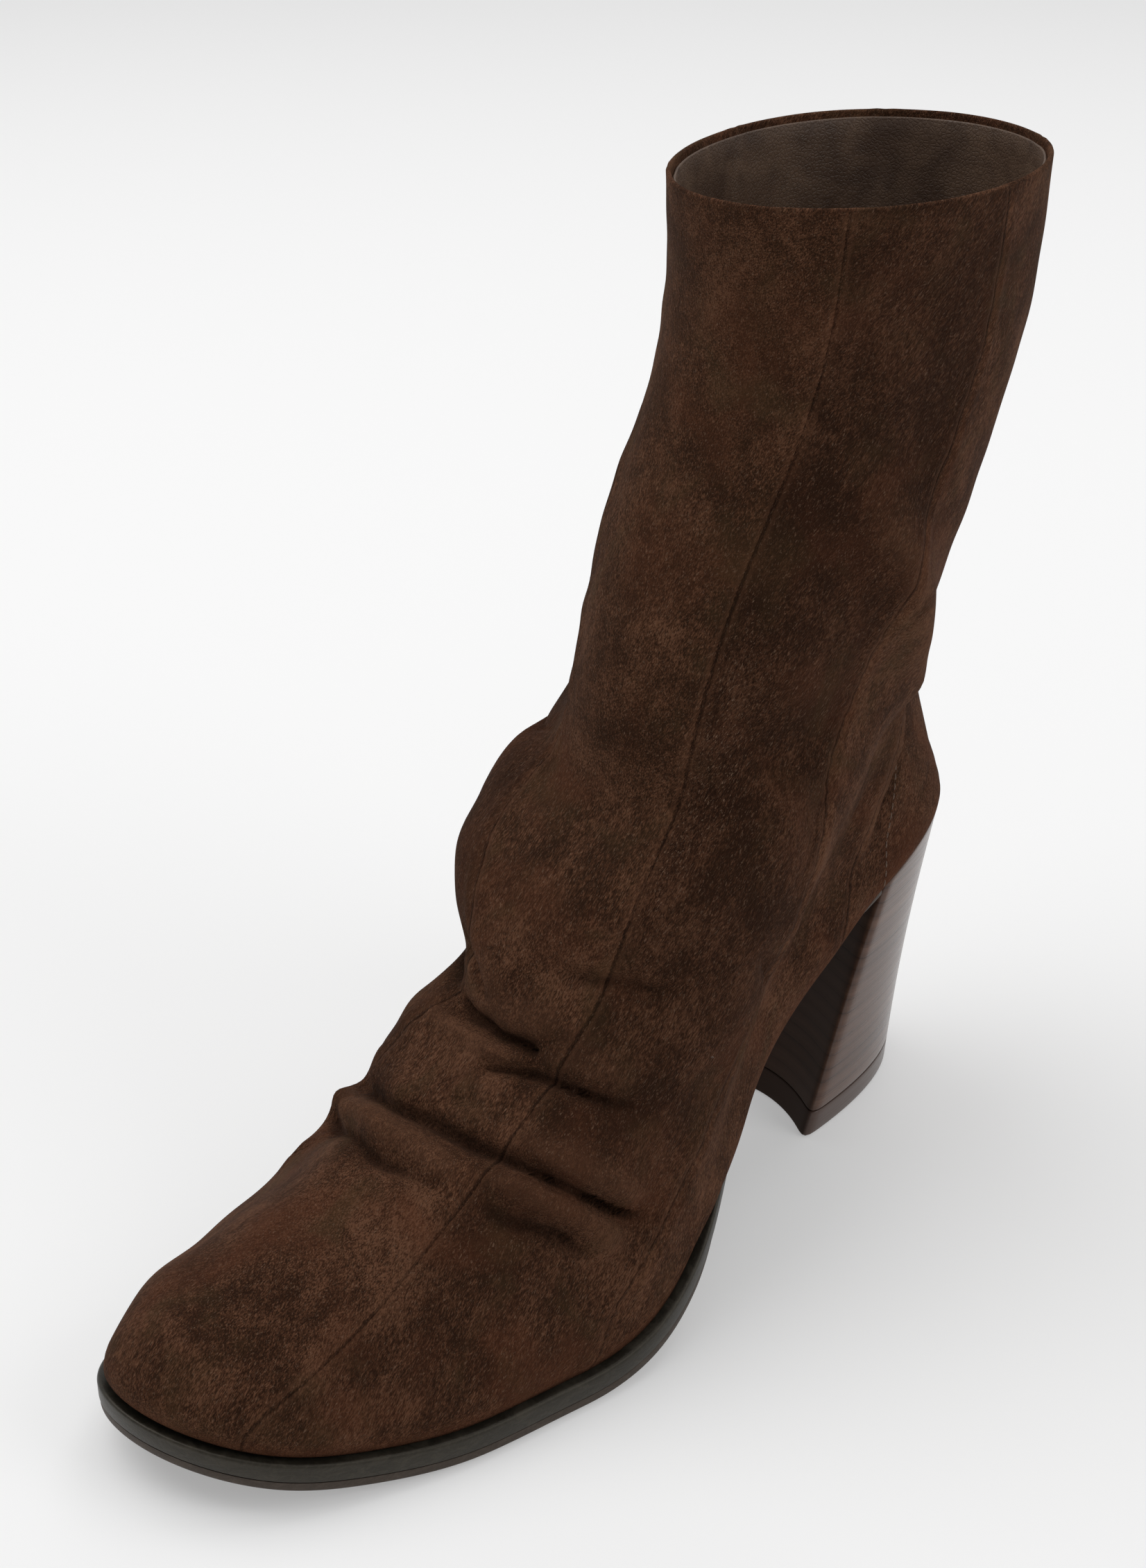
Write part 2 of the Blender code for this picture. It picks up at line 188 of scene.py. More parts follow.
# %% Rings of the upper, mm
Ring = namedtuple(
    "Ring", "back back_z waist_z ball_z front front_z front_x heel lateral medial oval")
WAIST_STATION, BALL_STATION = 0.4, 0.75
FEATHER = Ring(LEDGE, None, None, None, SOLE_LENGTH - LEDGE, None, TOE_TIP_X, 30, 50, 44, 0.0)
RINGS = (
    Ring(-0.2, 88, 45, 13, 241.8, 21.5, -5, 29, 51, 42, 0.05),
    Ring(-0.8, 93.5, 52.5, 18, 239, 27.5, -5, 29, 54, 38, 0.15),
    Ring(-0.6, 99.5, 62, 24, 230.5, 33.5, -4.5, 28.5, 55, 35, 0.35),
    Ring(0.6, 106, 73, 31, 217, 38.5, -3, 29, 56, 31, 0.6),
    Ring(2.4, 113, 85, 41, 200, 43.5, -1, 29.5, 56, 29, 0.85),
    Ring(4.4, 119.5, 96, 55.5, 181, 49, 1, 30, 55, 30, 1),
    Ring(5.4, 125, 106, 75, 162.5, 57, 3, 30.5, 53, 33, 1),
    Ring(5.6, 130, 115, 92, 149, 69, 5, 31.5, 49, 39, 1),
    Ring(4.8, 135, 121.5, 102.5, 143.5, 84, 7, 32.5, 44, 43, 1),
    Ring(3.2, 141, 128, 112, 134, 98.5, 8, 33.5, 39, 42, 1),
    Ring(1.5, 147.5, 135, 121, 121.5, 110.5, 9, 35, 35, 36, 1),
    Ring(-1, 155, 144, 131.5, 116.5, 124, 10, 36, 35, 34, 1),
    Ring(-4.5, 163.5, 155, 146, 111, 142, 10, 37, 36, 34.5, 1),
    Ring(-10, 176, 170.5, 165, 102, 162, 10, 38, 36, 35.5, 1),
    Ring(-17, 192, 189.5, 187, 90, 185, 10, 38, 37, 34.5, 1),
    Ring(-21, 210, 210, 209, 84, 208.5, 10, 38, 38, 34.5, 1),
    Ring(-22, 230, 231, 231.5, 84, 232, 10, 39, 39, 35, 1),
)
COLLAR = len(RINGS)  # level of the collar; the feather edge is level 0
print("rings:", COLLAR + 1, " collar height:", RINGS[-1].front_z, "mm")

# %% [markdown]
# ## Curves
#
# A cubic spline through a few rows of numbers draws every outline: it bends no more than it must,
# as a thin steel rule does round pins on a drawing board.

# %% Curve helpers
def spline(stations, values, at, level_ends=False):
    """A cubic spline through rows of values; its ends are free, or level."""
    x = np.asarray(stations, float)
    y = np.asarray(values, float).reshape(len(x), -1)
    step = np.diff(x)
    slope = np.diff(y, axis=0) / step[:, None]
    matrix = np.eye(len(x))
    bend = np.zeros_like(y)
    for i in range(1, len(x) - 1):
        matrix[i, i - 1:i + 2] = step[i - 1], 2 * (step[i - 1] + step[i]), step[i]
        bend[i] = 6 * (slope[i] - slope[i - 1])
    if level_ends:
        matrix[0, :2] = 2 * step[0], step[0]
        matrix[-1, -2:] = step[-1], 2 * step[-1]
        bend[0], bend[-1] = 6 * slope[0], -6 * slope[-1]
    bend = np.linalg.solve(matrix, bend)
    at = np.atleast_1d(np.asarray(at, float))
    i = np.clip(np.searchsorted(x, at) - 1, 0, len(x) - 2)
    before, after, h = (x[i + 1] - at)[:, None], (at - x[i])[:, None], step[i][:, None]
    curve = (bend[i] * before**3 + bend[i + 1] * after**3) / (6 * h)
    curve += (y[i] / h - bend[i] * h / 6) * before + (y[i + 1] / h - bend[i + 1] * h / 6) * after
    return curve.reshape(len(at), *np.shape(values)[1:])


def ease(value, start, end):
    """0 before start, 1 after end, and smooth between them."""
    t = np.clip((value - start) / (end - start), 0, 1)
    return t * t * (3 - 2 * t)


def along(angle):
    """Share of an outline's length at an angle, 0 at the back and 1 at the front."""
    return (1 - np.cos(angle)) / 2


def running_total(steps):
    """The distance run at each point, from the steps between the points."""
    return np.concatenate([[0], np.cumsum(steps)])


def unit(vectors):
    return vectors / np.linalg.norm(vectors, axis=-1, keepdims=True)


# %% [markdown]
# ## The form
#
# The sole follows the last: a sloping heel seat, the waist, the flat ball and the toe spring.
# Places round the boot are angles: 0 at the middle of the back, a quarter turn on the outer side, a
# half turn at the toe. The upper is a spline through the rings at each angle.

# %% Form of the sole
def midsole_under(forward):
    """Height of the midsole's underside: sloping seat, waist, flat ball and toe spring."""
    ball_height = OUTSOLE_BALL + GAP
    seat = SEAT_HEIGHT - SEAT_SLOPE * forward
    run = BALL_START - SEAT_LENGTH
    t = np.clip((forward - SEAT_LENGTH) / run, 0, 1)
    drop = SEAT_HEIGHT - SEAT_SLOPE * SEAT_LENGTH - ball_height
    waist = ball_height + drop * (1 - t) ** 2 * (1 + 2 * t) - SEAT_SLOPE * run * t * (1 - t) ** 2
    toe = TOE_SPRING * np.clip((forward - BALL_END) / (SOLE_LENGTH - BALL_END), 0, 1) ** 2
    return np.where(forward < SEAT_LENGTH, seat, waist + toe)


def midsole_top(forward):
    return midsole_under(forward) + MIDSOLE_SEAT + (MIDSOLE_BALL - MIDSOLE_SEAT) * ease(
        forward, THIN_UNTIL, THICK_FROM)


def outsole_top(forward):
    return midsole_under(forward) - GAP


def outsole_under(forward):
    return outsole_top(forward) - OUTSOLE_WAIST - (OUTSOLE_BALL - OUTSOLE_WAIST) * ease(
        forward, THIN_UNTIL, THICK_FROM)


def centre_line(share, tip_x, power=3.0):
    """Sideways place of an outline's middle line, which turns towards the toe's tip."""
    return tip_x * share**power


def sole_fullness(angle):
    """Half width of the sole's outline at each angle, as a multiple of the angle's sine."""
    share = np.array([row.forward for row in SOLE_OUTLINE]) / SOLE_LENGTH
    turn = np.arccos(1 - 2 * share)
    middle = centre_line(share, TOE_TIP_X)
    lateral = (np.array([row.lateral for row in SOLE_OUTLINE]) - middle) / np.sin(turn)
    medial = (np.array([row.medial for row in SOLE_OUTLINE]) + middle) / np.sin(turn)
    rows = np.vstack([[BACK_FULLNESS] * 2, np.stack([lateral, medial], 1), [TOE_FULLNESS] * 2])
    stations = np.concatenate([[0.0], turn, [np.pi]])
    half_turn = np.where(angle <= np.pi, angle, 2 * np.pi - angle)
    both = spline(stations, rows, half_turn, level_ends=True)
    return np.where(np.sin(angle) >= 0, both[:, 0], both[:, 1])


def sole_plan(angle, inset):
    """Sideways and forward place of the sole's outline, drawn in by inset."""
    share = along(angle)
    x = centre_line(share, TOE_TIP_X) + np.sin(angle) * (sole_fullness(angle) - inset)
    return x, inset + (SOLE_LENGTH - 2 * inset) * share


def to_frame(points):
    """Turns (sideways, forward, height) in mm into the frame's metres."""
    points = np.asarray(points, float)
    return np.stack([points[..., 0], HEEL_CENTRE - points[..., 1], points[..., 2]], -1) * MM


# %% Form of the upper
def ring_points(ring, angle):
    share = along(angle)
    forward = ring.back + (ring.front - ring.back) * share
    fore = np.where(np.sin(angle) >= 0, ring.lateral, ring.medial)
    oval = ring.heel + (fore - ring.heel) * share
    full = (1 - ring.oval) * (sole_fullness(angle) - LEDGE) + ring.oval * oval
    x = centre_line(share, ring.front_x, 3 - 2 * ring.oval) + np.sin(angle) * full
    if ring is FEATHER:
        z = midsole_top(forward) + GAP
    else:
        stations = np.vander([0, WAIST_STATION, BALL_STATION, 1])
        heights = [ring.back_z, ring.waist_z, ring.ball_z, ring.front_z]
        z = np.polyval(np.linalg.solve(stations, heights), share)
    return np.stack([x, forward, z], -1)


def upper_surface(angle, level):
    """Outer face of the upper at every level for every angle, mm."""
    rings = np.array([ring_points(ring, angle) for ring in (FEATHER, *RINGS)])
    return spline(np.arange(len(rings)), rings, level)


def outward(surface):
    """Unit normals of rows from the sole upwards, each closed round the angle."""
    round_it = np.roll(surface, -1, 1) - np.roll(surface, 1, 1)
    return unit(np.cross(round_it, np.gradient(surface, axis=0)))


# %% [markdown]
# ## The upper's grid
#
# The suede needs about one millimetre between its points, so that a crease has a floor and two
# banks. Even steps of the angle would leave the sides coarse, so the angles crowd there. The levels
# are spread by the way they climb, and stand closer where the shaft folds on to the instep.

# %% The grid
TURN_STEPS = 320
LEVEL_STEPS = 232
CROWDING = 0.15
PROBE_ANGLES = (0.0, 1.6, 2.6, np.pi, 3.6)
PROBE_LEVELS = 600
FOLD_LEVELS = (3.5, 12.5)
FOLD_DENSITY = 0.6

even = np.linspace(0, 2 * np.pi, TURN_STEPS, endpoint=False)
angles = even + CROWDING * np.sin(2 * even)
try_levels = np.linspace(0, COLLAR, PROBE_LEVELS)
lines = upper_surface(np.array(PROBE_ANGLES), try_levels)
climb = np.linalg.norm(np.diff(lines, axis=0), axis=-1).mean(1)
between = (try_levels[1:] + try_levels[:-1]) / 2
low, high = FOLD_LEVELS
climb *= (1 + FOLD_DENSITY * ease(between, low - 1, low + 1)
          * (1 - ease(between, high - 1, high + 1)))
climb = running_total(climb)
levels = np.interp(np.linspace(0, climb[-1], LEVEL_STEPS + 1), climb, try_levels)
form = upper_surface(angles, levels)
skin = outward(form)
row_gap = np.linalg.norm(np.diff(form, axis=0), axis=-1)
print("suede grid:", form.shape[:2], "rows %.2f to %.2f mm apart" % (row_gap.min(), row_gap.max()))

# %% [markdown]
# ## Distance to a line on the skin
#
# Seams, creases and rolls all follow lines on the suede. One helper measures, for every point of
# the grid, how far it is from such a line, on which side it lies and how far along the line it is.

# %% Lines on the skin
Nearness = namedtuple("Nearness", "distance side share")
OTHER_WALL = 10.0  # mm through the boot, past which a point lies on another wall
POINTS_PER_STATION = 9


def smooth_line(stations):
    """Evenly spaced points on a spline through a few, mm."""
    stations = np.asarray(stations, float)
    run = running_total(np.linalg.norm(np.diff(stations, axis=0), axis=1))
    return spline(run, stations, np.linspace(0, run[-1], POINTS_PER_STATION * len(stations)))


def near_line(line):
    """Nearness of the grid's points to a line: the side is +1 to the left, seen from outside."""
    distance = np.full(form.shape[:2], np.inf)
    side, share = np.zeros_like(distance), np.zeros_like(distance)
    for k, (start, end) in enumerate(zip(line[:-1], line[1:])):
        step = end - start
        along_it = np.clip((form - start) @ step / (step @ step), 0, 1)
        offset = form - start - along_it[..., None] * step
        through = (offset * skin).sum(-1)
        flat = offset - through[..., None] * skin
        far = np.linalg.norm(flat, axis=-1) + np.maximum(np.abs(through) - OTHER_WALL, 0)
        closer = far < distance
        left = (flat * np.cross(step, skin)).sum(-1)
        distance = np.where(closer, far, distance)
        side = np.where(closer, np.where(left > 0, 1.0, -1.0), side)
        share = np.where(closer, (k + along_it) / (len(line) - 1), share)
    return Nearness(distance, side, share)


def on_form(stations, count):
    """A line on the upper through (level, degrees) stations."""
    stations = np.array(stations, float)
    level = np.linspace(stations[0, 0], stations[-1, 0], count)
    turn = np.radians(spline(stations[:, 0], stations[:, 1], level))
    return np.array([upper_surface(turn[k:k + 1], level[k:k + 1])[0, 0] for k in range(count)])


# %% [markdown]
# ## The creases of the ankle
#
# A slack shaft sinks on to the instep and folds. Each fold is a soft roll above and below a narrow
# valley, deep in the middle and gone at its ends. They are laid one by one, most of them from the
# inner side to the outer one, in millimetres: sideways, forward, and up. Broad swellings and
# hollows go between them.

# %% Creases
Crease = namedtuple("Crease", "depth width above below reach fade_in fade_out path")
CREASES = (
    # a short slit under the shaft's overhanging fold
    Crease(3.8, 1.2, 1.6, 0.8, 4, 0.3, 0.12, (
        (-8, 146, 69), (-4, 147, 70), (1, 149, 69), (6, 149, 69), (11, 149, 68), (16, 148, 68),
        (22, 148, 67))),
    Crease(2.8, 1.5, 1.4, 0.5, 4, 0.1, 0.45, (
        (9, 155, 61), (13, 154, 63), (17, 153, 64), (22, 151, 64), (26, 150, 64), (31, 148, 63),
        (35, 146, 62), (41, 141, 60), (45, 135, 58))),
    # the long one, down to the outer side
    Crease(3.5, 2.1, 1.4, 1.1, 4, 0.3, 0.18, (
        (-35, 146, 36), (-30, 154, 40), (-25, 159, 44), (-18, 163, 48), (-10, 167, 52),
        (-2, 169, 54), (5, 168, 54), (16, 167, 53), (25, 165, 52), (32, 161, 49), (37, 157, 46),
        (41, 153, 42), (44, 148, 38), (46, 144, 36), (49, 139, 31))),
    # under the inner side's big fold
    Crease(3.4, 1.8, 0.8, 0.5, 5, 0.1, 0.35, (
        (-36, 157, 29), (-27, 166, 37), (-16, 173, 44), (-6, 177, 49), (4, 180, 49),
        (11, 179, 49), (17, 178, 48), (22, 176, 47), (26, 174, 46))),
    Crease(2.5, 2.4, 0.8, 0.5, 5, 0.35, 0.38, (
        (25, 175, 46), (27, 173, 45), (31, 171, 43), (35, 167, 41), (40, 162, 38),
        (43, 159, 33), (45, 156, 29))),
    Crease(1.5, 2, 0.9, 0.5, 5, 0.35, 0.5, (
        (17, 143, 84), (21, 141, 84), (25, 139, 83), (30, 135, 83), (34, 132, 82),
        (39, 128, 81), (44, 120, 80))),
    Crease(1, 1.4, 0.4, 0.3, 4, 0.35, 0.4, (
        (5, 163, 57), (8, 163, 57), (12, 161, 58), (16, 160, 58))),
    # the shaft's edge over the instep, ending in a dimple
    Crease(1.8, 1.4, 0.9, 0.2, 4, 0.35, 0.2, (
        (-13, 140, 82), (-6, 143, 81), (-1, 145, 79), (3, 147, 76), (6, 148, 73))),
    Crease(5.5, 3.4, 0.8, 0.8, 5, 0.15, 0.45, (
        (-32, 120, 76), (-26, 129, 76), (-20, 135, 76), (-14, 141, 74), (-8, 146, 71),
        (-2, 149, 69))),
    # where the shaft leaves its fold, on the inner side
    Crease(5, 6, 0.3, 0.9, 8, 0.25, 0.6, (
        (-39, 72, 112), (-36, 88, 111), (-31, 97, 112), (-25, 103, 115), (-19, 106, 118),
        (-12, 109, 121))),
    # along the outer side
    Crease(1.2, 5, 0.6, 0.4, 9, 0.5, 0.5, (
        (40, 74, 124), (43, 84, 109), (45, 94, 93))),
    Crease(1.5, 4.5, 0.9, 0.5, 9, 0.45, 0.5, (
        (46, 108, 86), (45, 102, 76), (40, 97, 64))),
    # the shaft's back edge, sagging over the stiff counter
    Crease(3, 2.2, 0, 3, 6, 0.4, 0.5, (
        (36, 38, 130), (33, 34, 122), (29, 30, 114), (27, 29, 107), (26, 31, 100), (26, 36, 92),
        (27, 41, 85), (28, 46, 77), (29, 52, 69))),
    Crease(1.3, 5, 0.4, 0.4, 8, 0.45, 0.45, (
        (28, 45, 100), (29, 51, 94), (29, 56, 86), (29, 60, 76))),
    # slack of the inner side
    Crease(1.5, 3, 1, 0.6, 8, 0.45, 0.35, (
        (-40, 72, 100), (-41, 88, 90), (-38, 103, 84), (-31, 118, 80))),
    Crease(1.4, 3, 1, 0.6, 8, 0.45, 0.35, (
        (-34, 84, 70), (-35, 98, 64), (-35, 112, 61), (-32, 124, 62))),
    Crease(1.3, 2.6, 0.8, 0.6, 7, 0.5, 0.4, (
        (-33, 112, 44), (-35, 124, 42), (-36, 136, 43), (-31, 147, 46))),
)
print("creases:", len(CREASES))

# %% Rolls and swellings
Roll = namedtuple("Roll", "height width fade_in fade_out path")
ROLLS = (
    Roll(1.3, 1.5, 0.3, 0.25, (
        (-14, 149, 65), (-4, 151, 66), (6, 152, 66), (13, 152, 65), (21, 150, 65))),
    # the inner side's big fold, and its twin on the outer side
    Roll(2.6, 4, 0.05, 0.3, (
        (-37, 153, 32), (-31, 160, 38), (-25, 165, 43), (-18, 169, 46), (-6, 173, 50),
        (3, 175, 51), (9, 174, 51), (14, 174, 50), (19, 173, 49), (28, 170, 47))),
    Roll(2.2, 3.6, 0.3, 0.2, (
        (21, 171, 50), (29, 167, 49), (32, 164, 47), (35, 162, 45), (38, 160, 43),
        (41, 156, 39), (44, 153, 35), (46, 149, 30))),
    Roll(1.3, 3.2, 0.4, 0.25, (
        (24, 162, 56), (32, 158, 53), (38, 154, 48), (43, 148, 44), (47, 141, 38))),
    # the shaft's outer side above the counter
    Roll(4.4, 9, 0.4, 0.2, (
        (42, 70, 185), (42, 62, 163), (41, 56, 150), (39, 50, 140), (36, 45, 131),
        (33, 40, 122), (30, 36, 114), (28, 34, 106))),
    # the foot of the shaft, sagging over the instep
    Roll(1.7, 6, 0.3, 0.4, (
        (-12, 142, 81), (1, 145, 79), (7, 146, 77), (14, 146, 75), (20, 145, 74), (25, 144, 73),
        (31, 142, 72), (38, 137, 71))),
)

Swelling = namedtuple("Swelling", "x forward z out wide tall")
SWELLINGS = (
    Swelling(-22, 124, 92, 3, 16, 9),
    Swelling(-17, 139, 75, -2, 12, 5),
    Swelling(-25, 131, 67, -5.5, 11, 6.5),
    Swelling(-19, 146, 60, 2.2, 12, 6),
    Swelling(-21, 153, 52, 2.4, 11, 5),
    Swelling(-34, 142, 40, 3.8, 11, 4.2),
    Swelling(-36, 154, 31.5, 1.6, 8, 3.4),
    Swelling(-29, 93, 121, -3, 16, 9),
    Swelling(-38, 188, 22, -1.9, 20, 9),
    Swelling(-21, 235, 22, -1.2, 14, 10),
    Swelling(28, 100, 165, -2.6, 20, 26),
    Swelling(14, 158, 64, 1.6, 14, 5),
    Swelling(22, 171, 50, 0.9, 15, 4),
    Swelling(38, 156, 50, 1.4, 12, 6),
    # the counter, flatter than a full heel
    Swelling(19, 9, 99, -3.6, 24, 15),
    Swelling(-19, 9, 106, -2, 20, 16),
)
print("rolls:", len(ROLLS), " swellings:", len(SWELLINGS))

# %% Press them into the form
VALLEY_FLOOR = 0.5  # mm, radius at the bottom of a crease


def along_fold(fold):
    """Nearness to a crease or a roll, and its strength, which fades towards both ends."""
    near = near_line(smooth_line(fold.path))
    fades_out = ease(near.share, 1 - fold.fade_out, 1)
    return near, ease(near.share, 0, fold.fade_in) * (1 - fades_out)


relief = np.zeros(form.shape[:2])
for crease in CREASES:
    near, strength = along_fold(crease)
    round_floor = np.sqrt(near.distance**2 + VALLEY_FLOOR**2) - VALLEY_FLOOR
    valley = crease.depth * np.exp(-round_floor / crease.width)
    reach = near.distance / crease.reach
    swell = np.where(near.side > 0, crease.above, crease.below) * reach * np.exp(1 - reach)
    relief += strength * (swell - valley)
for roll in ROLLS:
    near, strength = along_fold(roll)
    relief += roll.height * strength * np.exp(-(near.distance / roll.width) ** 2)
for swelling in SWELLINGS:
    offset = form - np.array([swelling.x, swelling.forward, swelling.z])
    across = np.hypot(offset[..., 0], offset[..., 1]) / swelling.wide
    relief += swelling.out * np.exp(-across**2 - (offset[..., 2] / swelling.tall) ** 2)
print("relief from creases: %.1f to %.1f mm" % (relief.min(), relief.max()))

# %% [markdown]
# ## The seams
#
# Closed butted seams join the panels: a front, a side and a back one on each side, from the sole to
# the collar. Each is a thin groove with a slightly raised lip, and its stitching puckers the suede
# a little. It is drawn through (level, degrees) stations. The distance to the nearest seam is kept
# for the material.

# %% Seams
SEAMS = {
    "front_outer": (
        (0, 158), (1.6, 156), (3, 152), (4.4, 152), (6.2, 154.5), (7.6, 153), (8.6, 149.5),
        (10, 147), (12, 150), (13.7, 148), (15, 145), (17, 140)),
    "side_outer": (
        (0, 110), (1, 107), (2, 103.5), (3, 98), (4, 94), (5.5, 92), (7, 93), (8, 94), (10, 97),
        (11.9, 98), (13.4, 96), (15, 93), (17, 91)),
    "back_outer": (
        (0, 58), (2, 56), (3.3, 52), (4.7, 48), (7.1, 42), (9.4, 39), (11.7, 33), (14.3, 34),
        (17, 34)),
    "front_inner": (
        (0, 250), (1.5, 247), (3, 242), (4.5, 231), (6, 219), (7.2, 207), (8, 197), (8.7, 195),
        (9.4, 202), (10.3, 211), (11.5, 214), (13, 220), (15, 225), (17, 228)),
    "side_inner": (
        (0, 283), (2, 281), (5, 275), (8, 270), (11, 268), (14, 270), (17, 273)),
}
SEAMS["back_inner"] = [(level, 360 - degrees) for level, degrees in SEAMS["back_outer"]]
SEAM_POINTS = 60
GROOVE_DEPTH, GROOVE_WIDTH = 0.26, 0.9  # mm
LIP_HEIGHT, LIP_PLACE, LIP_WIDTH = 0.3, 2.3, 1.5
PUCKER_HEIGHT, PUCKER_REACH = 0.20, 5.0
PUCKER_LENGTHS = (7.3, 11.9)  # mm, two lengths of ripple that never quite agree
SEAM_EDGE = (4.0, 6.0)  # mm, where the seam's own shading ends

seam_offset = np.full(form.shape[:2], SEAM_EDGE[1])
for name, stations in SEAMS.items():
    line = on_form(stations, SEAM_POINTS)
    length = np.linalg.norm(np.diff(line, axis=0), axis=1).sum()
    near = near_line(line)
    relief -= GROOVE_DEPTH * np.exp(-(near.distance / GROOVE_WIDTH) ** 2)
    relief += LIP_HEIGHT * np.exp(-(((near.distance - LIP_PLACE) / LIP_WIDTH) ** 2))
    ripple = sum(np.sin(2 * np.pi * length * near.share / one) for one in PUCKER_LENGTHS) / 2
    relief += PUCKER_HEIGHT * ripple * np.exp(-(near.distance / PUCKER_REACH) ** 2)
    closer = near.distance < np.abs(seam_offset)
    seam_offset = np.where(closer, near.side * near.distance, seam_offset)
    print("seam %s: %.0f mm long" % (name, length))
seam_mask = 1 - ease(np.abs(seam_offset), *SEAM_EDGE)

# %% [markdown]
# ## The nap of each panel
#
# Each panel is cut from its own place on the hide, so its nap takes the light in its own way. One
# number for each point tells the material: above 0 on the side panels, above 1 where the nap is
# ruffled, and below 0 on the front of the shaft. The side panels are darkened partly as painted
# shade, and the ruffled nap is paled partly as a painted highlight.

# %% Panels
PANEL_EDGE = 1.2  # degrees over which one panel's nap gives way to the next
SIDES_BELOW, SIDES_RISE = 0.35, (3.5, 7.5)  # the side panels' share near the sole, and its levels
FRONT_RISE = (8, 11)  # levels over which the front of the shaft begins
RUFFLED_LEVEL, RUFFLED_LEVELS = 11.5, 2.2
RUFFLED_FROM_SEAM, RUFFLED_DEGREES = 7, 10


def seam_degrees(name):
    """The angle of a seam at each row of the grid."""
    stations = np.array(SEAMS[name], float)
    return spline(stations[:, 0], stations[:, 1], levels)[:, None]


def between_seams(first, last):
    """1 on the panel from one seam round to another, and 0 off it."""
    return (ease(degrees - seam_degrees(first), -PANEL_EDGE, PANEL_EDGE)
            * ease(seam_degrees(last) - degrees, -PANEL_EDGE, PANEL_EDGE))


degrees, level = np.degrees(angles)[None], levels[:, None]
outer_panel = between_seams("side_outer", "front_outer")
side_panels = outer_panel + between_seams("front_inner", "side_inner")
front_panel = between_seams("front_outer", "front_inner")
ruffled_degrees = (seam_degrees("front_outer") - RUFFLED_FROM_SEAM - degrees) / RUFFLED_DEGREES
ruffled = np.exp(-ruffled_degrees**2 - ((level - RUFFLED_LEVEL) / RUFFLED_LEVELS) ** 2)
panel = (side_panels * (SIDES_BELOW + (1 - SIDES_BELOW) * ease(level, *SIDES_RISE))
         + outer_panel * ruffled - front_panel * ease(level, *FRONT_RISE))
print("side panels: %.0f%% of the grid" % (100 * (panel > 0.5).mean()))

# %% [markdown]
# ## Slack, and the two edges
#
# Hide is never quite even, so the whole upper carries a slow, shallow waviness: a sum of a few soft
# waves through space, which closes round the boot by itself. At the sole the suede is pulled round
# the last's edge and tucks in over the rand. Behind the ball the foot is wider than the sole, so
# the suede rolls down over the rand, and round the heel seat it comes down to the heel and hides
# the rand. At the collar it is turned over and closed.

# %% Slack
WAVES = 26
WAVE_LENGTHS = (14.0, 48.0)  # mm
SLACK = 0.24  # mm

rng = np.random.default_rng(7)
slack = np.zeros(form.shape[:2])
for _ in range(WAVES):
    direction = rng.normal(size=3)
    direction *= 2 * np.pi / (np.linalg.norm(direction) * rng.uniform(*WAVE_LENGTHS))
    slack += np.sin(form @ direction + rng.uniform(0, 2 * np.pi))
slack = SLACK * slack / np.sqrt(WAVES / 2)
relief += slack
print("slack: %.2f to %.2f mm" % (slack.min(), slack.max()))

# %% The edge at the sole and the collar
SEAT_TO_WAIST, WAIST_TO_BALL = (42, 64), (98, 130)  # forward, mm
CALM_SOLE = 5.0  # mm from the sole over which the folds begin
CALM_COLLAR, COLLAR_REACH = 0.35, 25.0  # share of the folds left at the collar, and mm
TUCK_DEPTH, TUCK_REACH = 1.1, 1.5  # mm
TUCK_BEHIND_BALL = 0.6  # share of the tuck that is lost there
PULL, PULL_PLACE, PULL_WIDTH = 0.35, 5.0, 3.0  # mm, the pull round the last's edge
# mm: behind the ball, and how much more there is at the waist
OVERHANG_OUT, OVERHANG_DOWN = (1.4, 1.0), (2.3, 1.1)
# mm up from the sole: round the seat, and how much more there is past it
OVERHANG_FULL, OVERHANG_GONE = (1.5, 2.5), (10.0, 10.0)
OVERHANG_DOWN_GONE = 9.0


def past_seat(forward):
    """0 round the heel seat, 1 from the waist on."""
    return ease(forward, *SEAT_TO_WAIST)


def behind_ball(forward, all_along=1.0, at_waist=0.0):
    """An amount all along behind the ball, with another one added at the waist."""
    hug = 1 - ease(forward, *WAIST_TO_BALL)
    return all_along * hug + at_waist * (past_seat(forward) * hug)


from_sole = np.concatenate([[np.zeros(TURN_STEPS)], np.cumsum(row_gap, axis=0)])
from_collar = from_sole[-1] - from_sole
edge_forward = form[:1, :, 1]
relief *= ease(from_sole, 0, CALM_SOLE)
relief -= (TUCK_DEPTH * (1 - TUCK_BEHIND_BALL * behind_ball(edge_forward))
           * np.exp(-from_sole / TUCK_REACH))
relief += PULL * np.exp(-(((from_sole - PULL_PLACE) / PULL_WIDTH) ** 2))
relief *= CALM_COLLAR + (1 - CALM_COLLAR) * ease(from_collar, 0, COLLAR_REACH)

full, gone = [low + more * past_seat(edge_forward) for low, more in (OVERHANG_FULL, OVERHANG_GONE)]
out = behind_ball(edge_forward, *OVERHANG_OUT) * (1 - ease(from_sole, full, gone))
down = behind_ball(edge_forward, *OVERHANG_DOWN) * (1 - ease(from_sole, 0, OVERHANG_DOWN_GONE))
overhang = unit(skin[:1] * (1, 1, 0)) * out[..., None] - np.array([0, 0, 1]) * down[..., None]
suede_face = form + skin * relief[..., None]
print("relief in all: %.1f to %.1f mm" % (relief.min(), relief.max()))

# %% [markdown]
# ## Writing a material
#
# A procedural material is a web of nodes. Two small classes keep it readable: a Look owns the node
# tree and adds any node, and a Number wraps a socket, so that sums on it are written as sums.

# %% Nodes and numbers
def feed(tree, socket, value):
    """Sets a socket's value, or links it to another socket or a Number."""
    value = getattr(value, "socket", value)
    if isinstance(value, bpy.types.NodeSocket):
        tree.links.new(value, socket)
    else:
        socket.default_value = value


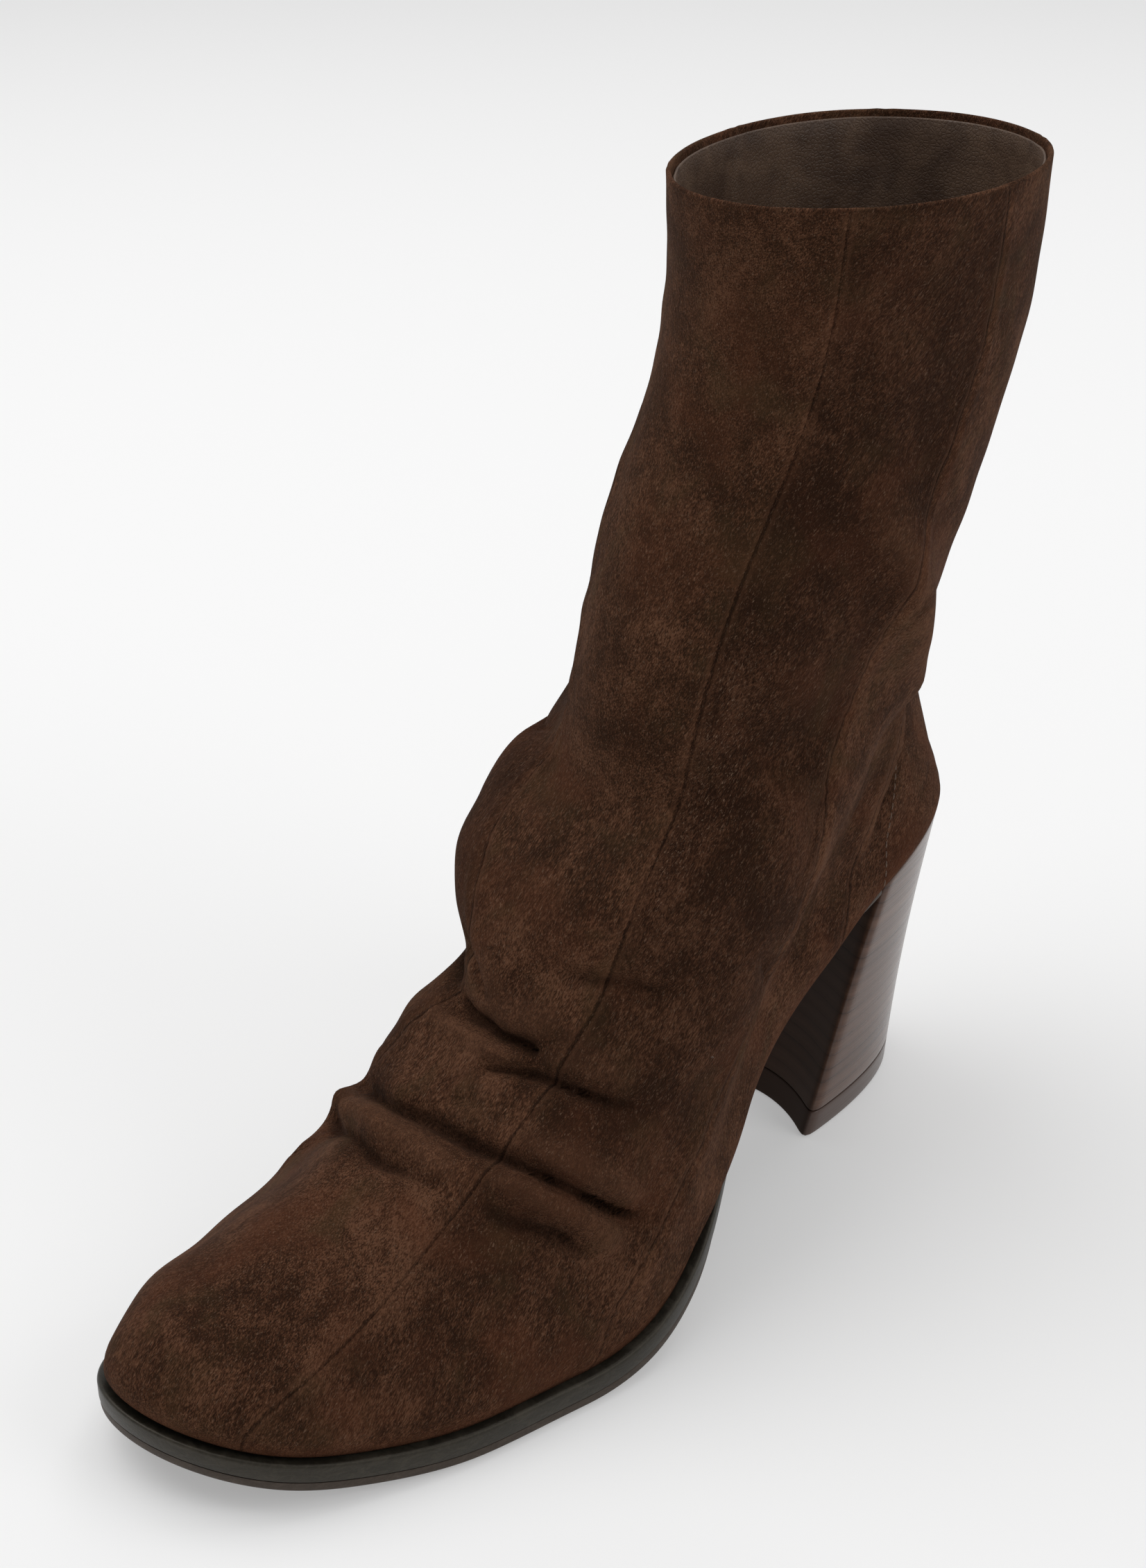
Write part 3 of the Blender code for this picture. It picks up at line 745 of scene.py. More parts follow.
def add_node(tree, kind, settings=None, values=None):
    """Adds a node: its settings first, then the values or links of its sockets."""
    node = tree.nodes.new(kind)
    for name, setting in (settings or {}).items():
        setattr(node, name, setting)
    for name, value in (values or {}).items():
        feed(tree, node.inputs[name], value)
    return node


class Number:
    """A socket that adds, multiplies and so on, with one Math node for each step."""

    def __init__(self, look, socket):
        self.look = look
        self.socket = socket

    def math(self, operation, *others):
        return self.look.node("ShaderNodeMath", {"operation": operation},
                              dict(enumerate((self, *others))))

    __add__ = __radd__ = partialmethod(math, "ADD")
    __sub__ = partialmethod(math, "SUBTRACT")
    __mul__ = __rmul__ = partialmethod(math, "MULTIPLY")
    __abs__ = partialmethod(math, "ABSOLUTE")

    def __neg__(self):
        return self * -1

    def __rsub__(self, other):
        return -self + other

    def rise(self, start, end):
        """0 up to start, 1 from end, and smooth between them."""
        return self.look.node("ShaderNodeMapRange", {"interpolation_type": "SMOOTHSTEP"},
                              {"Value": self, "From Min": start, "From Max": end})


# %% Looks
class Look:
    """A material's node tree, with its one shader."""

    def __init__(self, name, **constants):
        self.material = bpy.data.materials.new(name)
        self.material.use_nodes = True
        self.tree = self.material.node_tree
        self.shader = self.tree.nodes["Principled BSDF"].inputs
        for socket, value in constants.items():
            self.shader[socket.replace("_", " ")].default_value = value
        place = self.node("ShaderNodeTexCoord", output="Object")
        self.mm = self.node("ShaderNodeVectorMath", {"operation": "SCALE"},
                            {0: place, "Scale": 1 / MM})

    def node(self, kind, settings=None, values=None, output=0):
        """Adds a node and returns one of its outputs."""
        return Number(self, add_node(self.tree, kind, settings, values).outputs[output])

    def noise(self, size, detail=3.0, roughness=0.55, distortion=0.0, stretch=(1, 1, 1), lean=0.0):
        """Cloudy values round a half: lumps of a size in mm, stretched after a lean round X."""
        where = self.mm
        if lean:
            where = self.node("ShaderNodeVectorRotate", {"rotation_type": "X_AXIS"},
                              {"Vector": where, "Angle": lean})
        where = self.node("ShaderNodeVectorMath", {"operation": "DIVIDE"}, {0: where, 1: stretch})
        return self.node("ShaderNodeTexNoise", {},
                         {"Vector": where, "Scale": 1 / size, "Detail": detail,
                          "Roughness": roughness, "Distortion": distortion})

    def paint(self, colour, *layers):
        """Lays colours over a colour, each as much as its own share says."""
        for share, layer in layers:
            below, above = [c if isinstance(c, Number) else (*c, 1.0) for c in (colour, layer)]
            colour = self.node("ShaderNodeMix", {"data_type": "RGBA"},
                               {0: share, 6: below, 7: above}, output=2)
        return colour

    def stored(self, name):
        return self.node("ShaderNodeAttribute", {"attribute_name": name}, output="Fac")

    def finish(self, colour, roughness, height, coat=0.0):
        """Feeds the shader; the height is in mm."""
        bump = self.node("ShaderNodeBump", {}, {"Strength": 1.0, "Distance": MM, "Height": height})
        for name, value in (("Base Color", colour), ("Roughness", roughness),
                            ("Coat Weight", coat), ("Normal", bump)):
            feed(self.tree, self.shader[name], value)
        return self.material


# %% [markdown]
# ## Suede
#
# Suede is the split, brushed side of a hide. Its short nap lies in soft patches, darker where it is
# brushed towards you and paler where it is brushed away, with loose fibres that catch the light,
# and it has a faint sheen but no gloss. Noises of falling size make the patches, the nap and the
# fibres, and colour is laid over them: painted shade in the valleys, a painted highlight on the
# ridges, and paler seams' lips.

# %% Suede
SUEDE_DARK = (0.024, 0.0104, 0.0055)
SUEDE_MID = (0.057, 0.0245, 0.0128)
SUEDE_PALE = (0.120, 0.0550, 0.0305)
SUEDE_RED = (0.088, 0.0300, 0.0145)
SUEDE_OLIVE = (0.052, 0.0310, 0.0140)
# the seams' dark line, and also the painted shade in the creases' valleys
SEAM_LINE_AND_PAINTED_SHADE = (0.010, 0.0048, 0.0030)
# loose fibres' colour, paler partly as a painted glint of the light they catch
FIBRE_GLINT = (0.240, 0.1500, 0.1000)
BRUSHED_DOWN = np.radians(45)


def suede_look():
    look = Look("brown suede", Sheen_Weight=0.04, Sheen_Roughness=0.4,
                Sheen_Tint=(0.80, 0.45, 0.30, 1.0), Specular_IOR_Level=0.04)
    panel = look.stored("panel")
    patch = look.noise(22, 3, 0.55, 1.0)
    brushed = look.noise(6, 3, 0.6, 1.2, (1, 1, 1.7), BRUSHED_DOWN)
    nap = look.noise(1.1, 3, 0.7, 0.4, (1, 1, 2.0), BRUSHED_DOWN)
    fibre = look.noise(0.26, 2, 0.6, 0.3, (1, 1, 4.0), BRUSHED_DOWN)
    side_panel, shaft_front, ruffled = panel.rise(0, 1), (-panel).rise(0, 1), panel.rise(1.1, 1.9)
    # how far the nap is brushed towards the pale side; the side panels are darker partly as
    # painted shade, and the ruffled nap paler partly as a painted highlight
    tone = (patch - 0.5) * 1.15 + (brushed - 0.5) * 0.6 + (nap - 0.5) * (side_panel * 0.3 + 0.75)
    tone = tone + (fibre - 0.5) * 1.9 - side_panel * 0.13 - shaft_front * 0.04 + ruffled * 0.16
    # a seam is a thin, ragged dark line with a paler lip
    mask = look.stored("seam_mask")
    ragged = abs(look.stored("seam_offset")) + (look.noise(1.0, 2) - 0.5) * 0.3
    line = (1 - ragged.rise(0.10, 0.38)) * mask
    lip = ragged.rise(0.3, 0.7) * (1 - ragged.rise(0.7, 2.0)) * mask
    faint = look.noise(7, 2).rise(0.35, 0.6) * 0.3 + 0.22
    fold = look.stored("fold")
    loose = look.noise(0.30, 2, 0.5, 0.8, (1, 1, 3.2), BRUSHED_DOWN)
    colour = look.paint(
        SUEDE_DARK, (tone.rise(-0.30, 0.02), SUEDE_MID), (tone.rise(0.0, 0.34), SUEDE_PALE),
        (look.noise(26, 2, 0.5, 0.6).rise(0.48, 0.72) * 0.4, SUEDE_RED),
        (look.noise(17, 2, 0.5, 0.8).rise(0.5, 0.74) * 0.4, SUEDE_OLIVE),
        # the side panels darker, partly as painted shade
        (shaft_front * 0.06, SUEDE_OLIVE), (side_panel * 0.32, SUEDE_DARK),
        # loose fibres, paler partly as painted glints of the light they catch
        (loose.rise(0.57, 0.75) * (ruffled * 0.42 + 0.36), FIBRE_GLINT),
        # painted highlight on the creases' ridges, and painted shade in their valleys
        (fold.rise(0.1, 1.4) * 0.25, SUEDE_PALE), ((-fold).rise(0.3, 2.1) * 0.55, SEAM_LINE_AND_PAINTED_SHADE),
        ((1 - look.stored("from_sole").rise(0.5, 5.0)) * 0.4, SUEDE_RED),
        (lip * 0.22, SUEDE_PALE), (line * faint, SEAM_LINE_AND_PAINTED_SHADE))
    rough = side_panel * 0.4 + ruffled * 1.2 + 0.65
    height = (brushed - 0.5) * 0.6 + (nap - 0.5) * rough + (fibre - 0.5) * 0.35
    return look.finish(colour, nap * 0.2 + 0.78, height - line * 0.3)


suede = suede_look()
print("suede nodes:", len(suede.node_tree.nodes))

# %% [markdown]
# ## Lining and insole leather
#
# Inside, the boot is lined with thin smooth leather, and the foot stands on a leather insole. Both
# have a satin gloss and a fine pebbled grain, which the borders of small cells draw.

# %% Lining leather
LEATHER_DEEP, LEATHER_PALE = (0.060, 0.033, 0.020), (0.130, 0.078, 0.048)
PEBBLES = 1.1  # in a mm


def leather_look(name):
    look = Look(name, Specular_IOR_Level=0.4)
    cells = look.node("ShaderNodeTexVoronoi", {"feature": "DISTANCE_TO_EDGE"},
                      {"Vector": look.mm, "Scale": PEBBLES})
    grain = cells.rise(0.0, 0.22)
    tone = look.noise(13, 4, 0.6, 0.5)
    colour = look.paint(LEATHER_DEEP, (tone.rise(0.3, 0.7), LEATHER_PALE),
                        ((1 - grain) * 0.35, LEATHER_DEEP))
    return look.finish(colour, tone * 0.2 + 0.42, grain * 0.06 + look.noise(3, 3) * 0.1)


lining_leather, insole_leather = leather_look("lining leather"), leather_look("insole leather")

# %% [markdown]
# ## Making closed shells
#
# Suede and lining are thin shells. Each is one closed strip of rows: up the outer face, over the
# collar, down the inner face and under the edge at the sole. The inner face follows the lowest
# relief near each point, in coarser rows, so that it never comes through a valley of the outer one.

# %% Shell helpers
def make_mesh(name, points, faces, material):
    """A smooth-shaded mesh object at the origin, from points in mm."""
    mesh = bpy.data.meshes.new(name)
    mesh.from_pydata(to_frame(points).tolist(), [], faces)
    mesh.materials.append(material)
    mesh.shade_smooth()
    mesh.validate()
    return add_object(name, mesh)


def store(mesh, name, values, kind="FLOAT", field="value"):
    """Keeps a value for each point of a mesh, for its material or its Geometry Nodes."""
    kept = mesh.attributes.new(name, kind, "POINT")
    kept.data.foreach_set(field, np.asarray(values, np.float32).ravel())


def triangles(piece):
    return sum(len(face.vertices) - 2 for face in piece.data.polygons)


def loft_faces(loops, count, closed):
    """Quads between loops of count points; a closed loft joins the last loop to the first."""
    i = np.arange(loops if closed else loops - 1)[:, None]
    j = np.arange(count)[None]
    a, b = i * count, (i + 1) % loops * count
    quads = np.stack([a + j, a + (j + 1) % count, b + (j + 1) % count, b + j], -1)
    return quads.reshape(-1, 4).tolist()


def rim(outer, inner, rise, steps=3):
    """Rows of a half round from an outer row to an inner one, bulging towards rise."""
    middle, half_way = (outer + inner) / 2, (outer - inner) / 2
    radius = np.linalg.norm(half_way, axis=-1, keepdims=True)
    turns = np.pi * np.arange(1, steps + 1) / (steps + 1)
    return [middle + half_way * np.cos(t) + rise * radius * np.sin(t) for t in turns]


def make_shell(name, outer, inner, material):
    """A closed shell between two faces given as rows from the sole to the collar."""
    rows = [*outer, *rim(outer[-1], inner[-1], unit(outer[-1] - outer[-2])), *inner[::-1]]
    return make_mesh(name, np.concatenate(rows), loft_faces(len(rows), TURN_STEPS, True), material)


# %% Inner faces
SUEDE_THICKNESS = 1.15
LINING_DEPTHS = (1.35, WALL)
LINING_DROP = 1.3  # mm, the lining ends this far below the collar
ROW_STRIDE = 4  # rows of the grid to a row of an inner face
COLUMN_REACH = 2


def lowest_near(values, rows, columns):
    """The lowest value within so many rows and columns of each point."""
    padded = np.pad(values, ((rows, rows), (0, 0)), mode="edge")
    low = np.min([padded[k:k + len(values)] for k in range(2 * rows + 1)], axis=0)
    return np.min([np.roll(low, k, 1) for k in range(-columns, columns + 1)], axis=0)


def rest_on_rand(face):
    """Keeps a face's lowest row just above the rand."""
    face[0, :, 2] = np.maximum(face[0, :, 2], midsole_top(face[0, :, 1]) + GAP / 2)
    return face


inner_relief = lowest_near(relief, ROW_STRIDE, COLUMN_REACH)
suede_back, lining_face, lining_back = [
    rest_on_rand((form + skin * (inner_relief - depth)[..., None])[::ROW_STRIDE])
    for depth in (SUEDE_THICKNESS, *LINING_DEPTHS)]
suede_back += overhang[::ROW_STRIDE]
suede_face = rest_on_rand(suede_face) + overhang
print("rows outside and inside:", len(suede_face), len(suede_back))

# %% The suede
VALLEY_PASSES = 40
FROM_SOLE_LIMIT = 20.0  # mm


def soften(values, passes):
    """Averages each value with its neighbours, some number of times."""
    for _ in range(passes):
        values = (np.roll(values, 1, 1) + np.roll(values, -1, 1) + 2 * values) / 4
        padded = np.pad(values, ((1, 1), (0, 0)), mode="edge")
        values = (padded[:-2] + padded[2:] + 2 * values) / 4
    return values


boot_upper = make_shell("suede_upper", suede_face, suede_back, suede)
# how far each point stands out of its surroundings: the material paints a highlight on the ridges
# and shade in the valleys
fold = relief - soften(relief, VALLEY_PASSES)
inner_rows = len(boot_upper.data.vertices) // TURN_STEPS - len(suede_face)
for name, values, inside in (("fold", fold, 0.0), ("seam_offset", seam_offset, SEAM_EDGE[1]),
                             ("seam_mask", seam_mask, 0.0),
                             ("from_sole", np.minimum(from_sole, FROM_SOLE_LIMIT), FROM_SOLE_LIMIT),
                             ("panel", panel, 0.0)):
    inner_values = np.full((inner_rows, TURN_STEPS), inside)
    store(boot_upper.data, name, np.concatenate([values, inner_values]))
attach(boot_upper, "root")
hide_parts("upper")
print("suede_upper: %d triangles, fold %.1f to %.1f mm"
      % (triangles(boot_upper), fold.min(), fold.max()))

# %% The lining
for face in (lining_face, lining_back):
    face[-1] -= LINING_DROP * unit(face[-1] - face[-2])
lining = make_shell("lining", lining_face, lining_back, lining_leather)
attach(lining, "root")
print("lining:", triangles(lining), "triangles")

# %% [markdown]
# ## Layers of the sole
#
# The rand, the tread and the insole are sheets cut to the sole's outline and pressed to its curve.
# Each is a stack of grids over the outline: the first and last are its faces, and those between
# round its edge, which carries the one bright line of the sole.

# %% Sole grids
SOLE_STEPS = 170
BREAST_FADE = 0.35  # radians over which the rear edge's bow dies out


def quarter_round(radius, steps=4):
    """How far a rounded edge is drawn in, and how far cut down, from its side to its face."""
    turns = np.linspace(0, np.pi / 2, steps)
    return [(radius * (1 - np.cos(t)), radius * (1 - np.sin(t))) for t in turns]


def sole_grid(height, inset, start=0.0, across=10, hollow=0.0, draw_in=(0.0, 0.0), seat=0.0):
    """Points over the sole from a start angle to the toe. hollow bows the rear edge backwards,
    draw_in narrows it behind the ball and at the waist, and seat draws it in round the heel."""
    angle = np.linspace(start, np.pi, SOLE_STEPS + 1)
    inset = inset + seat * (1 - past_seat(SOLE_LENGTH * along(angle)))
    lateral, forward = sole_plan(angle, inset)
    medial, _ = sole_plan(2 * np.pi - angle, inset)
    narrower = behind_ball(forward, *draw_in) * np.sin(angle) ** 0.5
    lateral, medial = lateral - narrower, medial + narrower
    share = np.linspace(0, 1, across + 1)
    x = lateral[:, None] + (medial - lateral)[:, None] * share
    bow = hollow * (1 - (2 * share - 1) ** 2)
    fade = 1 - ease(angle, start, start + BREAST_FADE)
    forward = forward[:, None] - fade[:, None] * bow
    return np.stack([x, forward, height(forward)], -1)


def rounded_layers(under, top, foot_radius, top_radius, inset=0.0, **shape):
    """Grids for a layer whose edge is rounded at its foot and at its top."""
    foot = [sole_grid(lambda f, cut=cut: under(f) + cut, inset + drawn, **shape)
            for drawn, cut in quarter_round(foot_radius)[::-1]]
    head = [sole_grid(lambda f, cut=cut: top(f) - cut, inset + drawn, **shape)
            for drawn, cut in quarter_round(top_radius)]
    return foot + head


# %% Sole plates
WELD = 1e-6  # m


def make_plate(name, layers, material):
    """A closed layer from a stack of grids: the first and last are its faces, all lend borders."""
    rows, columns = layers[0].shape[:2]
    size = rows * columns
    index = np.arange(size).reshape(rows, columns)
    quads = np.stack([index[:-1, :-1], index[1:, :-1], index[1:, 1:], index[:-1, 1:]], -1)
    quads = quads.reshape(-1, 4)
    border = np.array([*index[:-1, 0], *index[-1, :-1], *index[:0:-1, -1], *index[0, :0:-1]])
    after = np.roll(border, -1)
    faces = quads.tolist() + (quads[:, ::-1] + size * (len(layers) - 1)).tolist()
    for k in range(len(layers) - 1):
        faces += (np.stack([after, border, border + size, after + size], -1) + size * k).tolist()
    piece = make_mesh(name, np.concatenate(layers).reshape(-1, 3), faces, material)
    body = bmesh.new()
    body.from_mesh(piece.data)
    bmesh.ops.remove_doubles(body, verts=body.verts, dist=WELD)
    bmesh.ops.recalc_face_normals(body, faces=body.faces)
    body.to_mesh(piece.data)
    body.free()
    return piece


# %% [markdown]
# ## Rand, tread and insole
#
# The rand is a strip of leather dyed black and waxed to a satin gloss, with a softly rounded edge.
# The tread below it is a thinner, duller brown layer, scuffed a little. Both are drawn in where the
# suede hangs over them.

# %% Edge finishes
RAND_DEEP, RAND_WORN = (0.010, 0.0090, 0.0065), (0.036, 0.0310, 0.0230)
TREAD_DEEP, TREAD_WORN = (0.034, 0.0240, 0.0190), (0.070, 0.0530, 0.0430)


def edge_look(name, deep, worn, roughness, grain):
    look = Look(name, Specular_IOR_Level=0.40, Specular_Tint=(1.0, 0.90, 0.76, 1.0))
    scuff = look.noise(5, 5, 0.7, 0.8, (1, 1, 0.4))
    fine = look.noise(0.6, 3, 0.6)
    colour = look.paint(deep, (scuff.rise(0.42, 0.7) * 0.7, worn),
                        (fine.rise(0.45, 0.75) * 0.3, worn))
    height = (fine - 0.5) * grain + (scuff - 0.5) * 0.12
    return look.finish(colour, scuff * 0.25 + (roughness - 0.12), height)


rand_finish = edge_look("black waxed edge", RAND_DEEP, RAND_WORN, 0.42, 0.05)
tread_finish = edge_look("brown tread", TREAD_DEEP, TREAD_WORN, 0.55, 0.10)

# %% Rand and tread
RAND_ROUND, TREAD_ROUND = 0.9, 0.6  # mm
CUT_EDGE = 0.12  # mm, a nearly sharp corner
RAND_DRAWN_IN, RAND_AT_SEAT = (0.4, 0.5), 1.6
TREAD_DRAWN_IN, TREAD_INSET = (0.4, 1.6), 0.2
TREAD_START = np.arccos(1 - 2 * (SEAT_LENGTH + OUTSOLE_START) / SOLE_LENGTH)

rand = make_plate("rand", rounded_layers(midsole_under, midsole_top, CUT_EDGE, RAND_ROUND,
                                         draw_in=RAND_DRAWN_IN, seat=RAND_AT_SEAT), rand_finish)
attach(rand, "root")
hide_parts("midsole")

tread = make_plate("tread", rounded_layers(outsole_under, outsole_top, TREAD_ROUND, CUT_EDGE,
                                           TREAD_INSET, start=TREAD_START, across=24,
                                           hollow=BREAST_HOLLOW_TOP, draw_in=TREAD_DRAWN_IN),
                   tread_finish)
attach(tread, "root")
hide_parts("outsole")
print("rand and tread:", triangles(rand), triangles(tread), "triangles")

# %% Insole
INSOLE_CLEARANCE = 1.6  # mm between the insole and the upper's wall
INSOLE_MARGIN = LEDGE + WALL + INSOLE_CLEARANCE
INSOLE_THICKNESS = 2.4
INSOLE_ROUND = 0.9


def insole_under(forward):
    return midsole_top(forward) + GAP


insole_layers = [sole_grid(insole_under, INSOLE_MARGIN)]
for cut, drawn in ((1, 0), (0.3, 0.3), (0, 1)):  # shares of the edge's rounding
    insole_layers.append(sole_grid(
        lambda f, cut=cut: insole_under(f) + INSOLE_THICKNESS - cut * INSOLE_ROUND,
        INSOLE_MARGIN + drawn * INSOLE_ROUND))
insole = make_plate("insole_leather", insole_layers, insole_leather)
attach(insole, "root")
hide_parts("insole")
print("insole:", triangles(insole), "triangles")

# %% [markdown]
# ## The heel
#
# The block heel is built up from layers of leather board and ground to shape. It is a loft between
# two plans, the seat above and a smaller D on the floor, with a hollow breast. A light sanding
# eases its corners, which the smoothing of each level does here.

# %% Heel plans
HEEL_STEPS = 110
BREAST_STEPS = 30


def with_breast(plan, hollow):
    """Closes a heel's plan with its hollow front edge."""
    share = np.linspace(0, 1, BREAST_STEPS + 1)[1:-1]
    edge = plan[-1] + (plan[0] - plan[-1]) * share[:, None]
    edge[:, 1] -= hollow * (1 - (2 * share - 1) ** 2)
    return np.vstack([plan, edge])


last = np.arccos(1 - 2 * SEAT_LENGTH / SOLE_LENGTH)
turn = np.linspace(-last, last, HEEL_STEPS + 1) % (2 * np.pi)
seat = with_breast(np.stack(sole_plan(turn, GAP), -1), BREAST_HOLLOW_TOP)

turn = np.linspace(-np.pi / 2, np.pi / 2, HEEL_STEPS + 1)
power = 2 / HEEL_ROUNDNESS
x = HEEL_FOOT_X + HEEL_FOOT_HALF_WIDTH * np.sign(np.sin(turn)) * np.abs(np.sin(turn)) ** power
forward = (HEEL_FOOT_FRONT
           - (HEEL_FOOT_FRONT - HEEL_FOOT_BACK) * np.clip(np.cos(turn), 0, 1) ** power)
foot = with_breast(np.stack([x, forward], -1), BREAST_HOLLOW_FOOT)
seat_z = midsole_under(seat[:, 1]) - GAP
print("heel seat: %.1f to %.1f mm high" % (seat_z.min(), seat_z.max()))

# %% Heel levels
SANDING_PASSES = 3
HEEL_ROUND = 0.35  # mm


def heel_level(height, draw_in=0.0):
    """The heel's plan at a height, or at one for each point, drawn in by some mm."""
    share = ((seat_z - height) / seat_z)[:, None]
    plan = seat + (foot - seat) * share
    plan = plan + (HEEL_WAIST * np.sin(np.pi * share) + draw_in) * unit(foot.mean(0) - plan)
    for _ in range(SANDING_PASSES):
        plan = (np.roll(plan, 1, 0) + np.roll(plan, -1, 0) + 2 * plan) / 4
    return np.column_stack([plan, np.broadcast_to(height, len(plan))])


def heel_rows(foot_z, top_z, count):
    """Levels from a foot to a top, with both edges rounded."""
    edge, straight = quarter_round(HEEL_ROUND), top_z - foot_z - 2 * HEEL_ROUND
    return ([heel_level(foot_z + cut, drawn) for drawn, cut in edge[::-1]]
            + [heel_level(foot_z + HEEL_ROUND + straight * share)
               for share in np.linspace(0, 1, count)[1:-1]]
            + [heel_level(top_z - cut, drawn) for drawn, cut in edge])


# %% Blocks
CAP_RINGS = (0.97, 0.85, 0.6, 0.3)  # shares of the plan


def make_block(name, rows, material):
    """A solid from rows of one plan each; rings that shrink to a point close both ends."""
    count = len(rows[0])
    ends, middles = (rows[0], rows[-1]), (rows[0].mean(0), rows[-1].mean(0))
    foot_cap, top_cap = [[middle + (end - middle) * ring for ring in CAP_RINGS]
                         for end, middle in zip(ends, middles)]
    loops = foot_cap[::-1] + rows + top_cap
    points = np.concatenate([*loops, middles])
    faces = loft_faces(len(loops), count, False)
    final = (len(loops) - 1) * count
    for j in range(count):
        after = (j + 1) % count
        faces.append((len(points) - 2, after, j))
        faces.append((len(points) - 1, final + j, final + after))
    piece = make_mesh(name, points, faces, material)
    on_breast = np.zeros(len(points))
    on_breast[:-2] = np.tile(np.arange(count) > HEEL_STEPS, len(loops))
    # marks the breast, which the material leaves dull and darkens with painted shade
    store(piece.data, "breast", on_breast)
    return piece


# %% [markdown]
# ## Stacked leather
#
# The heel's layers lie flat, so the pattern is stretched along them: long fine streaks, each layer
# a shade of its own, and a dark hairline where two meet. Polish makes it satin, but not in the
# hollow of the breast, where no wheel reaches: it is left dull, and painted shade darkens it.

# %% Stacked leather
STACK_DEEP = (0.037, 0.0160, 0.0095)
STACK_MID, STACK_PALE = (0.080, 0.0390, 0.0245), (0.130, 0.0680, 0.0440)
TIP_MID, TIP_PALE = (0.070, 0.0400, 0.0300), (0.105, 0.0650, 0.0500)
# painted shade for the breast's hollow, which lies in the arch's shadow
BREAST_PAINTED_SHADE = (0.0150, 0.0090, 0.0060)
LAYER_HEIGHT = 3.6  # mm


def stacked_look(name, mid, pale, roughness, layered):
    """Polished leather, with its layers at full strength where layered is 1."""
    look = Look(name, Specular_IOR_Level=0.08, Coat_Roughness=0.26)
    height = look.node("ShaderNodeSeparateXYZ", {}, {0: look.mm}, output="Z")
    layer = height * (1 / LAYER_HEIGHT) + look.noise(30, 2) * 0.25
    shade = look.node("ShaderNodeTexWhiteNoise", {"noise_dimensions": "1D"},
                      {"W": layer.math("FLOOR")})
    edge = abs(layer.math("FRACT") - 0.5)
    streak = look.noise(0.9, 4, 0.7, 0.2, (26, 26, 1))
    broad = look.noise(3.2, 3, 0.6, 0.3, (14, 14, 1))
    tone = (streak * 0.42 + broad * 0.24 + shade * (0.14 * layered) + 0.16
            - edge.rise(0.05, 0.48) * (0.13 * layered))
    breast = look.stored("breast")
    colour = look.paint(STACK_DEEP, (tone.rise(0.24, 0.50), mid), (tone.rise(0.48, 0.78), pale),
                        (edge.rise(0.455, 0.5) * (0.4 * layered), STACK_DEEP),
                        # painted shade on the breast
                        (breast * 0.72, BREAST_PAINTED_SHADE))
    relief = streak * 0.10 - edge.rise(0.46, 0.5) * (0.06 * layered)
    return look.finish(colour, streak * 0.2 + (roughness - 0.1) + breast * 0.25,
                       relief * (1 - breast * 0.6), 0.68 - breast * 0.66)


stacked_leather = stacked_look("stacked leather", STACK_MID, STACK_PALE, 0.30, 1.0)
tip_finish = stacked_look("heel tip", TIP_MID, TIP_PALE, 0.42, 0.0)

# %% Heel block and top lift
HEEL_LEVELS, TIP_LEVELS = 44, 5

heel = make_block("stacked_heel", heel_rows(TOP_LIFT + GAP, seat_z, HEEL_LEVELS), stacked_leather)
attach(heel, "root")
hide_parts("heel_block")
tip = make_block("heel_tip", heel_rows(0.0, TOP_LIFT, TIP_LEVELS), tip_finish)
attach(tip, "root")
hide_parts("top_lift")
print("heel and tip:", triangles(heel), triangles(tip), "triangles")

# %% [markdown]
# ## The counter's stitches
#
# A curved row of fine, light stitches holds the stiff counter inside the back of the boot. Stitches
# repeat along a line, which is Geometry Nodes' work: the line is cut to even lengths, and a small
# rounded thread lies on each, flat on the suede, because the line carries the suede's own
# direction.

# %% The stitched line
# (level, degrees) from the middle of the back down the outer side; the inner side mirrors it
COUNTER = ((6.0, 10), (5.6, 24), (4.9, 36), (4.0, 42), (3.0, 44), (2.3, 46), (1.3, 48), (0.3, 48.5))
LINE_POINTS = 220
MM_PER_LEVEL, MM_PER_DEGREE = 8, 0.6  # about


def on_suede(level, degrees):
    """Points and outward directions on the finished suede, for levels and degrees on its grid."""
    row = np.interp(level, levels, np.arange(len(levels)))
    turn = np.radians(degrees) % (2 * np.pi)
    column = np.interp(turn, angles, np.arange(TURN_STEPS), period=2 * np.pi)
    i = np.clip(row.astype(int), 0, len(levels) - 2)
    j = column.astype(int)
    u, v = (row - i)[:, None], (column - j)[:, None]
    after = (j + 1) % TURN_STEPS
    spots = []
    for values in (suede_face, skin):
        low = values[i, j] * (1 - v) + values[i, after] * v
        high = values[i + 1, j] * (1 - v) + values[i + 1, after] * v
        spots.append(low * (1 - u) + high * u)
    return spots


side = np.array(COUNTER, float)
both_sides = np.vstack([side[::-1], side * (1, -1)])
steps = np.diff(both_sides, axis=0) * (MM_PER_LEVEL, MM_PER_DEGREE)
run = running_total(np.hypot(steps[:, 0], steps[:, 1]))
path = spline(run, both_sides, np.linspace(0, run[-1], LINE_POINTS))
spots, directions = on_suede(path[:, 0], path[:, 1])

stitch_line = bpy.data.meshes.new("counter line")
stitch_line.from_pydata(to_frame(spots).tolist(), [(k, k + 1) for k in range(LINE_POINTS - 1)], [])
store(stitch_line, "lift", directions * (1, -1, 1), "FLOAT_VECTOR", "vector")
counter = add_object("counter_line", stitch_line)
print("counter line: %.0f mm" % np.linalg.norm(np.diff(spots, axis=0), axis=1).sum())

# %% Thread and stitch tree
THREAD_PALE, THREAD_DEEP = (0.150, 0.085, 0.048), (0.060, 0.032, 0.020)
